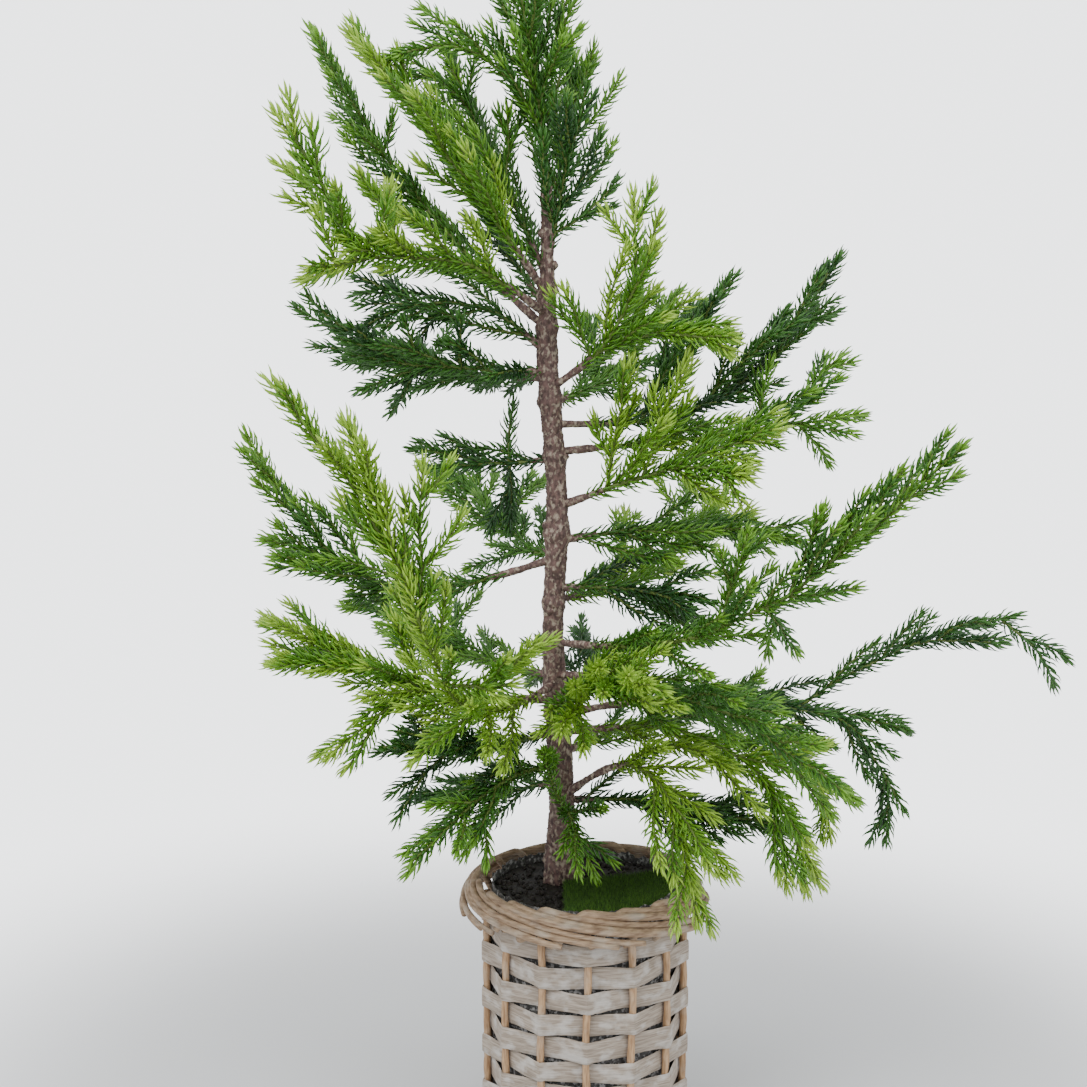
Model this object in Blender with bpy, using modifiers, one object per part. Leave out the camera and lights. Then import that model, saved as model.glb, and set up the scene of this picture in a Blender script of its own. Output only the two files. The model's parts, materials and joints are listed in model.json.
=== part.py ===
"""Potted artificial cypress: a bark-covered stem with boughs and foliage, in a woven basket.

Metres, +Z up. The origin is the middle of the pot's flat underside, and the side that
the basket shows to the viewer faces -Y. Headings are compass angles in degrees, 0 along
+X and 90 along +Y, and a rise is an angle above level.
"""
import math
from dataclasses import dataclass

import bmesh
import bpy
from mathutils import Vector

# Pot
POT_HEIGHT = 0.155
BODY_RADIUS = 0.063
BODY_WALL = 0.006
BODY_TOP = 0.1315
RIM_OUTER = 0.0755
RIM_INNER = 0.0565
LINER_RADIUS = 0.0555
LINER_WALL = 0.0010
LINER_TOP = 0.1485
SOIL_TOP = 0.1435
POT_FLOOR = 0.004
RIM_CORNERS = 8
MAT_THICK = 0.0055
MAT_LEFT = -0.0120
MAT_BACK_LEFT = 0.0005
MAT_BACK_RIGHT = 0.0190
MAT_INSET = 0.001
MAT_STEPS = 12
ROUND = 32

# Trunk
TRUNK_FOOT = Vector((-0.0134, 0.0145, SOIL_TOP + 0.0004))
TRUNK_TOP = Vector((-0.0231, 0.0020, 0.5515))
TRUNK_SIDES = 9
TRUNK_RINGS = 23
TRUNK_WAVE = 0.0022
TRUNK_TAPER = ((0.0, 0.0108), (0.05, 0.0090), (0.18, 0.0072), (0.35, 0.0063),
               (0.76, 0.0059), (0.86, 0.0042), (1.0, 0.0031))
COLLARS = (0.26, 0.42, 0.52, 0.63, 0.71, 0.81, 0.87)
COLLAR_SWELL = 0.0011
COLLAR_SPREAD = 0.014

# Boughs and foliage
GAP = 0.0003
CLEAR = 0.0007
LIMB_FOOT = 0.0026
LIMB_END = 0.0017
LIMB_ENTRY = 0.008
LIMB_CLEAR = 0.0022
LIMB_STEP = 0.002
SPRAY_RADIUS = 0.0066
SHOOT_RADIUS = 0.0058
THINNEST = 0.0014
SHORTEST = 0.016
SAMPLE = 0.004
SPRAY_SIDES = 5
SPRAY_RINGS = 4
SHOOT_SIDES = 4
SHOOT_RINGS = 2
LIMB_SIDES = 6
LIMB_RINGS = 3
LIMB_SAMPLES = 9


@dataclass(frozen=True)
class Shoot:
    """A side shoot: where it leaves its parent, and the straight line from foot to tip."""

    at: float
    heading: float
    rise: float
    length: float
    arch: float = 0.0
    on: int = 0


@dataclass(frozen=True)
class Bough:
    """A bough: its height on the trunk, the line from foot to tip, its bow and its shoots."""

    name: str
    height: float
    heading: float
    rise: float
    length: float
    arch: float = 0.0
    swing: float = 0.0
    bare: float = 0.0
    tone: str = "mid"
    shoots: tuple = ()


def fan(heading, rise, length, shares=(0.36, 0.56, 0.74)):
    """Shoots leaving by turns to either side, shorter towards the tip."""
    shoots = []
    for index, share in enumerate(shares):
        side = 38 if index % 2 == 0 else -38
        shoots.append(Shoot(share, heading + side, rise + 12, length * (0.50 - 0.22 * share), 0.003))
    return tuple(shoots)


# Each row: name, height, heading, rise, length, arch, swing, bare share, tone, shoots
BOUGHS = (
    Bough("top", 0.5520, 180, 85, 0.124, 0, 0, 0.14, "mid", (
        Shoot(0.33, 127, 59, 0.073, 0.006), Shoot(0.24, 199, 22, 0.098, 0.024),
        Shoot(0.55, 160, 39, 0.038, 0.003, 2), Shoot(0.30, 49, 70, 0.077, 0.004),
        Shoot(0.36, 313, 51, 0.044, 0.003), Shoot(0.20, 53, 46, 0.036, 0.002),
        Shoot(0.55, 234, 63, 0.054, 0.002), Shoot(0.66, 329, 67, 0.048, 0.002))),
    Bough("upper_right", 0.510, 334, 76, 0.098, 0.002, 0.003, 0, "dark", (
        Shoot(0.54, 230, 71, 0.039), Shoot(0.16, 15, 39, 0.048, -0.004))),
    Bough("upper_left_inner", 0.500, 162, 64, 0.143, 0.001, 0.002, 0, "mid", (
        Shoot(0.77, 59, 67, 0.030), Shoot(0.69, 166, 40, 0.055, 0.004),
        Shoot(0.40, 281, 77, 0.044), Shoot(0.50, 137, 9, 0.034, 0.003),
        Shoot(0.36, 139, 13, 0.033, 0.003))),
    Bough("upper_left_near", 0.491, 201, 51, 0.181, 0, 0.011, 0.17, "light", (
        Shoot(0.60, 159, 55, 0.047, 0.003), Shoot(0.24, 180, 79, 0.040))),
    Bough("upper_left_long", 0.472, 172, 51, 0.214, -0.013, -0.009, 0.15, "mid", (
        Shoot(0.63, 161, 35, 0.038, 0.003), Shoot(0.64, 0, 75, 0.023),
        Shoot(0.45, 163, 18, 0.037, 0.003), Shoot(0.47, 224, 53, 0.024),
        Shoot(0.33, 143, 18, 0.053, 0.004))),
    Bough("left_near_fan", 0.480, 222, 9, 0.165, 0.019, 0.004, 0.18, "light", (
        Shoot(0.83, 208, 60, 0.085, 0.003), Shoot(0.80, 180, 48, 0.066, 0.003),
        Shoot(0.76, 329, 75, 0.038), Shoot(0.66, 155, 60, 0.047, 0.002),
        Shoot(0.90, 226, 64, 0.030))),
    Bough("left_under", 0.459, 191, 8, 0.107, 0.021, 0, 0, "dark", (
        Shoot(0.68, 154, 5, 0.046, 0.003), Shoot(0.57, 205, -51, 0.038))),
    Bough("left_mid", 0.448, 205, 6, 0.120, -0.002, 0.015, 0, "dark", (
        Shoot(0.77, 202, 35, 0.065, -0.003), Shoot(0.71, 257, 50, 0.032),
        Shoot(0.62, 154, -19, 0.048), Shoot(0.50, 270, 55, 0.035))),
    Bough("right_high", 0.418, 10, 29, 0.194, -0.037, 0.006, 0.13, "dark", (
        Shoot(0.48, 22, 32, 0.093, 0.010), Shoot(0.43, 339, 42, 0.074, 0.004),
        Shoot(0.28, 12, 60, 0.094, 0.004), Shoot(0.24, 30, 58, 0.076, 0.002))),
    Bough("right_upright", 0.438, 325, 63, 0.122, -0.025, 0, 0.22, "light", (
        Shoot(0.28, 345, 9, 0.076, 0.006), Shoot(0.24, 213, 65, 0.043),
        Shoot(0.45, 322, -10, 0.050, 0.004, 1), Shoot(0.30, 18, 46, 0.047))),
    Bough("right_mid", 0.402, 0, 7, 0.176, -0.002, 0, 0.17, "mid", (
        Shoot(0.66, 48, 71, 0.041), Shoot(0.74, 28, 43, 0.058, 0.002),
        Shoot(0.80, 28, -48, 0.032))),
    Bough("right_bright", 0.370, 337, 21, 0.142, 0, -0.007, 0.20, "light", (
        Shoot(0.24, 323, 77, 0.076), Shoot(0.41, 337, 69, 0.072),
        Shoot(0.49, 319, 0, 0.061, 0.003))),
    Bough("right_level", 0.350, 351, 1, 0.143, 0.007, 0.009, 0, "mid", (
        Shoot(0.26, 312, -17, 0.042), Shoot(0.42, 23, -10, 0.066, 0.004))),
    Bough("right_low_inner", 0.322, 348, -12, 0.092, 0.010, 0, 0, "dark", (
        Shoot(0.30, 20, -22, 0.060, 0.003), Shoot(0.42, 325, -8, 0.046, 0.003),
        Shoot(0.55, 5, -38, 0.046), Shoot(0.60, 340, 28, 0.036, 0.002))),
    Bough("front_right_long", 0.290, 319, 27, 0.292, -0.035, -0.024, 0.14, "mid", (
        Shoot(0.72, 340, 56, 0.053, 0.002), Shoot(0.63, 304, 62, 0.051),
        Shoot(0.57, 45, -45, 0.040), Shoot(0.46, 290, 60, 0.064))),
    Bough("low_right_near", 0.270, 322, -11, 0.204, 0.024, -0.012, 0.15, "mid", (
        Shoot(0.41, 35, -8, 0.052), Shoot(0.50, 34, -17, 0.057))),
    Bough("low_right", 0.235, 348, -28, 0.176, 0.045, -0.009, 0.14, "light", (
        Shoot(0.67, 300, -67, 0.059, 0.004), Shoot(0.55, 16, -42, 0.080, 0.022),
        Shoot(0.40, 24, -16, 0.077))),
    Bough("low_right_under", 0.194, 352, -7, 0.130, 0.006, 0, 0, "dark", (
        Shoot(0.42, 330, -6, 0.056, 0.002), Shoot(0.52, 18, -4, 0.052, 0.002),
        Shoot(0.30, 325, -14, 0.058, 0.003))),
    Bough("far_right", 0.246, 1, -3, 0.206, 0.014, 0.006, 0.34, "dark", (
        Shoot(0.70, 4, 22, 0.140, 0.009), Shoot(0.92, 344, -50, 0.050, 0.004, 1),
        Shoot(0.50, 340, 6, 0.056, 0.003, 1), Shoot(0.78, 355, -66, 0.088, 0.014))),
    Bough("low_front_right", 0.195, 305, -17, 0.133, 0.055, 0.003, 0.34, "light", (
        Shoot(0.71, 339, -47, 0.041), Shoot(0.45, 343, 5, 0.034))),
    Bough("low_front_left", 0.215, 231, -13, 0.137, 0.018, 0.006, 0, "mid", (
        Shoot(0.34, 234, -36, 0.058, 0.003), Shoot(0.60, 215, 5, 0.030))),
    Bough("front_left_low", 0.236, 214, 4, 0.118, -0.006, 0, 0, "dark", (
        Shoot(0.38, 244, 10, 0.050, 0.003), Shoot(0.46, 182, 6, 0.046),
        Shoot(0.62, 205, -30, 0.042), Shoot(0.66, 225, 40, 0.036))),
    Bough("low_front", 0.184, 291, -22, 0.058, 0.020, -0.007, 0, "mid", (
        Shoot(0.50, 255, -25, 0.026),)),
    Bough("front", 0.255, 288, 16, 0.156, 0.003, 0, 0, "light", (
        Shoot(0.42, 300, 4, 0.060), Shoot(0.33, 259, -5, 0.072))),
    Bough("low_left_back", 0.206, 150, -14, 0.099, -0.003, 0, 0, "dark", fan(150, -14, 0.099)),
    Bough("low_left", 0.255, 195, 19, 0.178, -0.012, 0.013, 0.16, "light", (
        Shoot(0.62, 200, 10, 0.060, 0.003), Shoot(0.44, 172, 15, 0.072, 0.005),
        Shoot(0.48, 242, 62, 0.049), Shoot(0.64, 148, 19, 0.040),
        Shoot(0.46, 218, -25, 0.071, 0.003))),
    Bough("front_left_tall", 0.265, 242, 29, 0.185, -0.041, -0.002, 0.13, "light", (
        Shoot(0.97, 197, 57, 0.126, 0.004), Shoot(0.93, 225, 66, 0.103),
        Shoot(0.87, 286, 83, 0.083), Shoot(0.62, 312, 3, 0.040, 0.004),
        Shoot(0.51, 315, 37, 0.071))),
    Bough("far_left", 0.340, 187, 23, 0.191, -0.050, 0.004, 0.16, "mid", (
        Shoot(0.58, 168, 17, 0.049), Shoot(0.56, 206, 13, 0.047),
        Shoot(0.51, 164, 50, 0.057, 0.002), Shoot(0.27, 170, -3, 0.057))),
    Bough("left_inner", 0.398, 174, 6, 0.080, -0.006, 0, 0, "dark", (
        Shoot(0.45, 146, 19, 0.038), Shoot(0.32, 92, -65, 0.048),
        Shoot(0.33, 75, 73, 0.035))),
    Bough("back_top", 0.522, 75, 58, 0.125, -0.004, 0, 0, "mid", fan(75, 58, 0.125)),
    Bough("back_left_high", 0.484, 120, 43, 0.160, -0.010, 0, 0, "dark", fan(120, 43, 0.160)),
    Bough("back_right_high", 0.430, 60, 20, 0.165, -0.014, 0, 0, "mid", fan(60, 20, 0.165)),
    Bough("back_left", 0.445, 140, 2, 0.160, -0.006, 0, 0, "dark", fan(140, 2, 0.160)),
    Bough("back_middle", 0.340, 110, 10, 0.170, -0.010, 0, 0, "mid", fan(110, 10, 0.170)),
    Bough("back_right", 0.315, 50, 15, 0.180, -0.018, 0, 0, "light", fan(50, 15, 0.180)),
    Bough("back_left_low", 0.270, 130, 5, 0.170, -0.010, 0, 0, "mid", fan(130, 5, 0.170)),
    Bough("back_low", 0.240, 75, 0, 0.170, 0.012, 0, 0, "dark", fan(75, 0, 0.170)),
    Bough("back_right_low", 0.222, 32, -5, 0.170, 0.018, 0, 0, "mid", fan(32, -5, 0.170)),
)


@dataclass(frozen=True)
class Finish:
    """Plain surface values of one material."""

    colour: tuple
    roughness: float


FINISHES = {
    "willow_strips": Finish((0.42, 0.36, 0.30), 0.75),
    "willow_rods": Finish((0.36, 0.25, 0.16), 0.6),
    "liner": Finish((0.16, 0.16, 0.17), 0.35),
    "soil": Finish((0.012, 0.009, 0.007), 0.95),
    "turf": Finish((0.05, 0.11, 0.01), 0.9),
    "bark": Finish((0.13, 0.08, 0.07), 0.85),
    "foliage_light": Finish((0.20, 0.36, 0.04), 0.5),
    "foliage_mid": Finish((0.09, 0.22, 0.03), 0.5),
    "foliage_dark": Finish((0.03, 0.10, 0.02), 0.5),
}


def clear_scene():
    """Remove whatever the file starts with."""
    for item in list(bpy.data.objects):
        bpy.data.objects.remove(item, do_unlink=True)


def new_collection(name):
    """Make a collection in the scene."""
    collection = bpy.data.collections.new(name)
    bpy.context.scene.collection.children.link(collection)
    return collection


def material(name):
    """Return the named finish as a Principled material, made once."""
    found = bpy.data.materials.get(name)
    if found:
        return found
    finish = FINISHES[name]
    made = bpy.data.materials.new(name)
    made.use_nodes = True
    shader = made.node_tree.nodes["Principled BSDF"]
    shader.inputs["Base Color"].default_value = (*finish.colour, 1.0)
    shader.inputs["Roughness"].default_value = finish.roughness
    shader.inputs["Metallic"].default_value = 0.0
    return made


def add_object(name, builder, collection, finish=None):
    """Turn a bmesh into an object with smooth round sides and sharp edges."""
    bmesh.ops.recalc_face_normals(builder, faces=builder.faces)
    mesh = bpy.data.meshes.new(name)
    builder.to_mesh(mesh)
    builder.free()
    mesh.shade_smooth()
    mesh.set_sharp_from_angle(angle=math.radians(40))
    made = bpy.data.objects.new(name, mesh)
    if finish:
        mesh.materials.append(material(finish))
    collection.objects.link(made)
    return made


def hide_cutter(cutter):
    """Keep a cutter out of the finished model."""
    cutter.hide_render = True
    cutter.display_type = "WIRE"


def add_boolean(target, operation, cutter=None, cutters=None):
    """Cut or join an object with one cutter or with a collection of them."""
    modifier = target.modifiers.new(operation.lower(), "BOOLEAN")
    modifier.operation = operation
    modifier.solver = "EXACT"
    if cutters:
        modifier.operand_type = "COLLECTION"
        modifier.collection = cutters
    else:
        modifier.object = cutter


def turned(name, profile, collection, finish):
    """Turn a closed profile of (radius, height) points about +Z with a Screw modifier."""
    builder = bmesh.new()
    corners = [builder.verts.new((radius, 0.0, height)) for radius, height in profile]
    for index, corner in enumerate(corners):
        following = corners[(index + 1) % len(corners)]
        if corner.co.x > 0.0 or following.co.x > 0.0:
            builder.edges.new((corner, following))
    mesh = bpy.data.meshes.new(name)
    builder.to_mesh(mesh)
    builder.free()
    made = bpy.data.objects.new(name, mesh)
    mesh.materials.append(material(finish))
    collection.objects.link(made)
    screw = made.modifiers.new("turn", "SCREW")
    screw.steps = ROUND
    screw.render_steps = ROUND
    screw.use_merge_vertices = True
    screw.merge_threshold = 0.00001
    screw.use_smooth_shade = True
    return made


def loft(path, radius_at, sides, pointed=False):
    """Skin rings of corners along a path; a pointed one closes on its last point.

    radius_at(share, angle) gives the distance of a corner from the path.
    """
    builder = bmesh.new()
    last = len(path) - 1
    across = Vector((0.0, 0.0, 1.0)).cross(path[1] - path[0])
    if across.length < 1e-6:
        across = Vector((1.0, 0.0, 0.0))
    rings = []
    for index, centre in enumerate(path):
        along = (path[min(index + 1, last)] - path[max(index - 1, 0)]).normalized()
        across = (across - along * across.dot(along)).normalized()
        upward = along.cross(across)
        if pointed and index == last:
            break
        ring = []
        for side in range(sides):
            angle = math.tau * side / sides
            outward = across * math.cos(angle) + upward * math.sin(angle)
            ring.append(builder.verts.new(centre + outward * radius_at(index / last, angle)))
        rings.append(ring)
    for near, far in zip(rings, rings[1:]):
        for side in range(sides):
            after = (side + 1) % sides
            builder.faces.new((near[side], near[after], far[after], far[side]))
    builder.faces.new(rings[0])
    if pointed:
        tip = builder.verts.new(path[last])
        for side in range(sides):
            builder.faces.new((rings[-1][side], rings[-1][(side + 1) % sides], tip))
    else:
        builder.faces.new(rings[-1])
    return builder


def between(table, share):
    """Read a value from (share, value) pairs by straight steps."""
    for (low, before), (high, after) in zip(table, table[1:]):
        if share <= high:
            return before + (after - before) * (share - low) / (high - low)
    return table[-1][1]


def trunk_centre(height):
    """Middle of the trunk at a height: a lean to the left with a slight wave."""
    share = (height - TRUNK_FOOT.z) / (TRUNK_TOP.z - TRUNK_FOOT.z)
    centre = TRUNK_FOOT.lerp(TRUNK_TOP, share)
    wave = math.sin(math.pi * max(0.0, min(1.0, share)))
    centre.x += TRUNK_WAVE * wave * math.sin(math.tau * 2.2 * share)
    return centre


def trunk_radius(height):
    """Radius of the trunk at a height: taper, root flare and the collars of old boughs."""
    share = (height - TRUNK_FOOT.z) / (TRUNK_TOP.z - TRUNK_FOOT.z)
    radius = between(TRUNK_TAPER, max(0.0, min(1.0, share)))
    for collar in COLLARS:
        radius += COLLAR_SWELL * math.exp(-((share - collar) / COLLAR_SPREAD) ** 2)
    return radius


def trunk_builder(spare=0.0):
    """Trunk as an uneven loft, with lumps round the foot; spare makes it fatter for a cutter."""
    path = []
    for ring in range(TRUNK_RINGS):
        height = TRUNK_FOOT.z + (TRUNK_TOP.z - TRUNK_FOOT.z) * ring / (TRUNK_RINGS - 1)
        path.append(trunk_centre(height))

    def radius_at(share, angle):
        height = TRUNK_FOOT.z + (TRUNK_TOP.z - TRUNK_FOOT.z) * share
        lumps = 0.10 * math.exp(-share * 14.0) * math.sin(3.0 * angle + 0.6)
        ridges = 0.05 * math.sin(2.0 * angle + 25.0 * share) + 0.03 * math.sin(4.0 * angle - 40.0 * share)
        return trunk_radius(height) * (1.0 + lumps + ridges) + spare

    return loft(path, radius_at, TRUNK_SIDES)


def directions(heading, rise):
    """Unit vectors along, left of and above the straight line from foot to tip."""
    turn = math.radians(heading)
    lift = math.radians(rise)
    along = Vector((math.cos(turn) * math.cos(lift), math.sin(turn) * math.cos(lift), math.sin(lift)))
    left = Vector((-math.sin(turn), math.cos(turn), 0.0))
    return along, left, along.cross(left)


def on_bow(start, limb, share):
    """Point of a bowed limb at a share of its length."""
    along, left, above = directions(limb.heading, limb.rise)
    bow = math.sin(math.pi * share)
    swing = getattr(limb, "swing", 0.0)
    return start + along * (limb.length * share) + (above * limb.arch + left * swing) * bow


def bough_foot(bough):
    """Where a bough leaves the trunk: its middle line, or the top for the leader."""
    if bough.height > TRUNK_TOP.z:
        return TRUNK_TOP + Vector((0.0, 0.0, GAP))
    return trunk_centre(bough.height)


def trace(start, limb, low, high, count):
    """Points of a limb from one share of its length to another."""
    return [on_bow(start, limb, low + (high - low) * index / (count - 1)) for index in range(count)]


@dataclass
class Finger:
    """One tapering stroke of a foliage mass, before it is thinned to the room it has."""

    mass: str
    start: Vector
    limb: object
    low: float
    high: float
    radius: float
    main: bool

    def samples(self):
        """Points close enough together to measure gaps by."""
        span = self.limb.length * (self.high - self.low)
        return trace(self.start, self.limb, self.low, self.high, max(3, round(span / SAMPLE) + 1))


def bough_fingers(bough):
    """Main stroke and side strokes of one bough's foliage."""
    foot = bough_foot(bough)
    low = max(0.0, bough.bare - LIMB_ENTRY / bough.length) if bough.bare else 0.0
    fingers = [Finger(bough.name, foot, bough, low, 1.0, SPRAY_RADIUS, True)]
    feet = [foot]
    limbs = [bough]
    for shoot in bough.shoots:
        start = on_bow(feet[shoot.on], limbs[shoot.on], shoot.at)
        feet.append(start)
        limbs.append(shoot)
        fingers.append(Finger(bough.name, start, shoot, 0.0, 1.0, SHOOT_RADIUS, False))
    return fingers


def limb_span(bough):
    """Shares of a bough's length between which it shows as a bare limb."""
    if bough.height > TRUNK_TOP.z:
        return 0.0, bough.bare
    foot = bough_foot(bough)
    clear = trunk_radius(bough.height) + LIMB_CLEAR
    low = 0.0
    point = foot
    while (point - trunk_centre(point.z)).length < clear:
        low += LIMB_STEP
        point = on_bow(foot, bough, low)
    return low, bough.bare


def gap_to(point, others):
    """Smallest distance from a point to a list of points."""
    return min(((point - other).length for other in others), default=1.0)


def fit_fingers(fingers):
    """Cut short each side stroke that would run into an earlier stroke of another mass."""
    kept = []
    ordered = sorted(fingers, key=lambda finger: not finger.main)
    need = 2.0 * THINNEST + CLEAR
    for finger in ordered:
        others = [point for other, points in kept if other.mass != finger.mass for point in points]
        points = finger.samples()
        allowed = len(points)
        for index, point in enumerate(points):
            near_trunk = (point - trunk_centre(point.z)).length < trunk_radius(point.z) + THINNEST + CLEAR
            blocked = near_trunk and not finger.main and point.z < TRUNK_TOP.z
            if blocked or (gap_to(point, others) < need and not finger.main):
                allowed = index
                break
        if allowed < len(points):
            finger.high = finger.low + (finger.high - finger.low) * max(0, allowed - 1) / (len(points) - 1)
        if finger.main or finger.limb.length * (finger.high - finger.low) > SHORTEST:
            kept.append((finger, finger.samples()))
    return kept


def stroke(finger, kept, limbs, rings, salt):
    """Loft one stroke, thinned so that it stays clear of the trunk, limbs and other masses."""
    rows = rings + 1
    path = trace(finger.start, finger.limb, finger.low, finger.high, rows)
    others = [point for other, points in kept if other.mass != finger.mass for point in points]
    solid = [pair for name, pairs in limbs.items() if name != finger.mass for pair in pairs]
    samples = finger.samples()
    radii = []
    for row in range(rows):
        share = row / (rows - 1)
        swell = 0.74 + 0.30 * math.sin(math.pi * min(1.0, share * 1.1))
        uneven = 0.10 * math.sin(2.7 * row + 1.9 * salt)
        radius = finger.radius * (swell + uneven)
        for index, point in enumerate(samples):
            if abs(index / (len(samples) - 1) - share) > 1.0 / (rows - 1):
                continue
            radius = min(radius, (gap_to(point, others) - CLEAR) / 2.0)
            for other, thickness in solid:
                radius = min(radius, (point - other).length - thickness - CLEAR)
            away = (point - trunk_centre(point.z)).length
            if not (finger.main and share < 0.25) and point.z < TRUNK_TOP.z:
                radius = min(radius, away - trunk_radius(point.z) * 1.15 - CLEAR)
        radii.append(max(THINNEST * 0.8, radius))

    def radius_at(share, angle):
        row = min(rows - 1, round(share * (rows - 1)))
        return radii[row] * (1.0 + 0.10 * math.sin(2.0 * angle + salt + row))

    return loft(path, radius_at, SPRAY_SIDES if finger.main else SHOOT_SIDES, pointed=True)


def limb_radius(share):
    """Radius of a bare limb, from its foot to where it enters its foliage."""
    return LIMB_FOOT + (LIMB_END - LIMB_FOOT) * share


def limb_builder(bough, spare=0.0):
    """Bare part of a bough as a tapering loft; spare makes it fatter and longer for a cutter."""
    low, high = limb_span(bough)
    reach = spare / bough.length
    path = trace(bough_foot(bough), bough, low - reach, high + reach, LIMB_RINGS)

    def radius_at(share, angle):
        return limb_radius(share) * (1.0 + 0.06 * math.sin(2.0 * angle + 5.0 * share)) + spare

    return loft(path, radius_at, LIMB_SIDES)


def limb_obstacles():
    """Sample points and radii along each bare limb."""
    obstacles = {}
    for bough in BOUGHS:
        if not bough.bare:
            continue
        low, high = limb_span(bough)
        points = trace(bough_foot(bough), bough, low, high, LIMB_SAMPLES)
        radii = [limb_radius(index / (LIMB_SAMPLES - 1)) for index in range(LIMB_SAMPLES)]
        obstacles[bough.name] = list(zip(points, radii))
    return obstacles


def build_pot(collection):
    """Basket, rim, liner, soil and the piece of turf laid on it."""
    within = BODY_RADIUS - BODY_WALL
    turned("basket_body", ((0.0, 0.0), (0.0, POT_FLOOR), (within, POT_FLOOR), (within, BODY_TOP),
                           (BODY_RADIUS, BODY_TOP), (BODY_RADIUS, 0.0)), collection, "willow_strips")
    middle = (RIM_OUTER + RIM_INNER) / 2.0
    half_wide = (RIM_OUTER - RIM_INNER) / 2.0
    half_tall = (POT_HEIGHT - BODY_TOP - GAP) / 2.0
    centre = POT_HEIGHT - half_tall
    flats = math.cos(math.pi / RIM_CORNERS)
    rim = []
    for corner in range(RIM_CORNERS):
        angle = -math.tau * (corner + 0.5) / RIM_CORNERS
        outward = half_wide * math.cos(angle) / flats
        upward = half_tall * math.sin(angle) / flats
        rim.append((middle + outward, centre + upward))
    turned("basket_rim", tuple(rim), collection, "willow_rods")
    base = POT_FLOOR + GAP
    inside = LINER_RADIUS - LINER_WALL
    lined = base + LINER_WALL
    turned("liner", ((0.0, base), (0.0, lined), (inside, lined), (inside, LINER_TOP),
                     (LINER_RADIUS, LINER_TOP), (LINER_RADIUS, base)), collection, "liner")
    soil_radius = inside - GAP
    bed = lined + GAP
    turned("soil", ((0.0, bed), (0.0, SOIL_TOP), (soil_radius, SOIL_TOP), (soil_radius, bed)),
           collection, "soil")
    build_mat(collection, soil_radius - MAT_INSET)


def build_mat(collection, radius):
    """Turf mat: it follows the pot's inside in front and has a straight left and back edge."""
    builder = bmesh.new()
    first = math.acos(MAT_LEFT / radius)
    last = math.asin(MAT_BACK_RIGHT / radius)
    outline = [(MAT_LEFT, MAT_BACK_LEFT)]
    for step in range(MAT_STEPS + 1):
        angle = -first + (last + first) * step / MAT_STEPS
        outline.append((radius * math.cos(angle), radius * math.sin(angle)))
    low = SOIL_TOP + GAP
    face = builder.faces.new([builder.verts.new((x, y, low)) for x, y in outline])
    grown = bmesh.ops.extrude_face_region(builder, geom=[face])
    raised = [item for item in grown["geom"] if isinstance(item, bmesh.types.BMVert)]
    bmesh.ops.translate(builder, verts=raised, vec=(0.0, 0.0, MAT_THICK))
    add_object("turf_mat", builder, collection, "turf")


def build_tree(collection, cutters):
    """Trunk, bare limbs and the foliage masses that are cut round them."""
    add_object("trunk", trunk_builder(), collection, "bark")
    trunk_cutter = add_object("trunk_cutter", trunk_builder(GAP), cutters)
    hide_cutter(trunk_cutter)
    limbs = limb_obstacles()
    fingers = [finger for bough in BOUGHS for finger in bough_fingers(bough)]
    kept = fit_fingers(fingers)
    for number, bough in enumerate(BOUGHS):
        strokes = [finger for finger, points in kept if finger.mass == bough.name]
        shoots = None
        for index, finger in enumerate(strokes):
            rings = SPRAY_RINGS if finger.main else SHOOT_RINGS
            builder = stroke(finger, kept, limbs, rings, number + index * 0.7)
            if finger.main:
                mass = add_object("foliage_" + bough.name, builder, collection, "foliage_" + bough.tone)
                continue
            if shoots is None:
                shoots = bpy.data.collections.new("shoots_" + bough.name)
                cutters.children.link(shoots)
            hide_cutter(add_object(f"shoot_{bough.name}_{index}", builder, shoots))
        if shoots:
            add_boolean(mass, "UNION", cutters=shoots)
        if bough.bare:
            name = "leader" if bough.name == "top" else "bough_" + bough.name
            add_object(name, limb_builder(bough), collection, "bark")
            cutter = add_object("cutter_" + bough.name, limb_builder(bough, GAP), cutters)
            hide_cutter(cutter)
            add_boolean(mass, "DIFFERENCE", cutter=cutter)
        else:
            add_boolean(mass, "DIFFERENCE", cutter=trunk_cutter)


def main():
    """Build the potted cypress."""
    clear_scene()
    parts = new_collection("potted_cypress")
    cutters = new_collection("cutters")
    build_pot(parts)
    build_tree(parts, cutters)


main()
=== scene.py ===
"""Looks of the potted artificial cypress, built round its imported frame.

Metres, +Z up, in the frame's own axes. The viewer of the side shown looks along +Y. Headings
are compass angles in degrees, 0 along +X and 90 along +Y, and a rise is an angle above level.
"""
from __future__ import annotations

import json
import logging
import math
from dataclasses import dataclass, field
from enum import Enum

import bpy
import numpy as np
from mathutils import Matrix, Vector, noise

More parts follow.
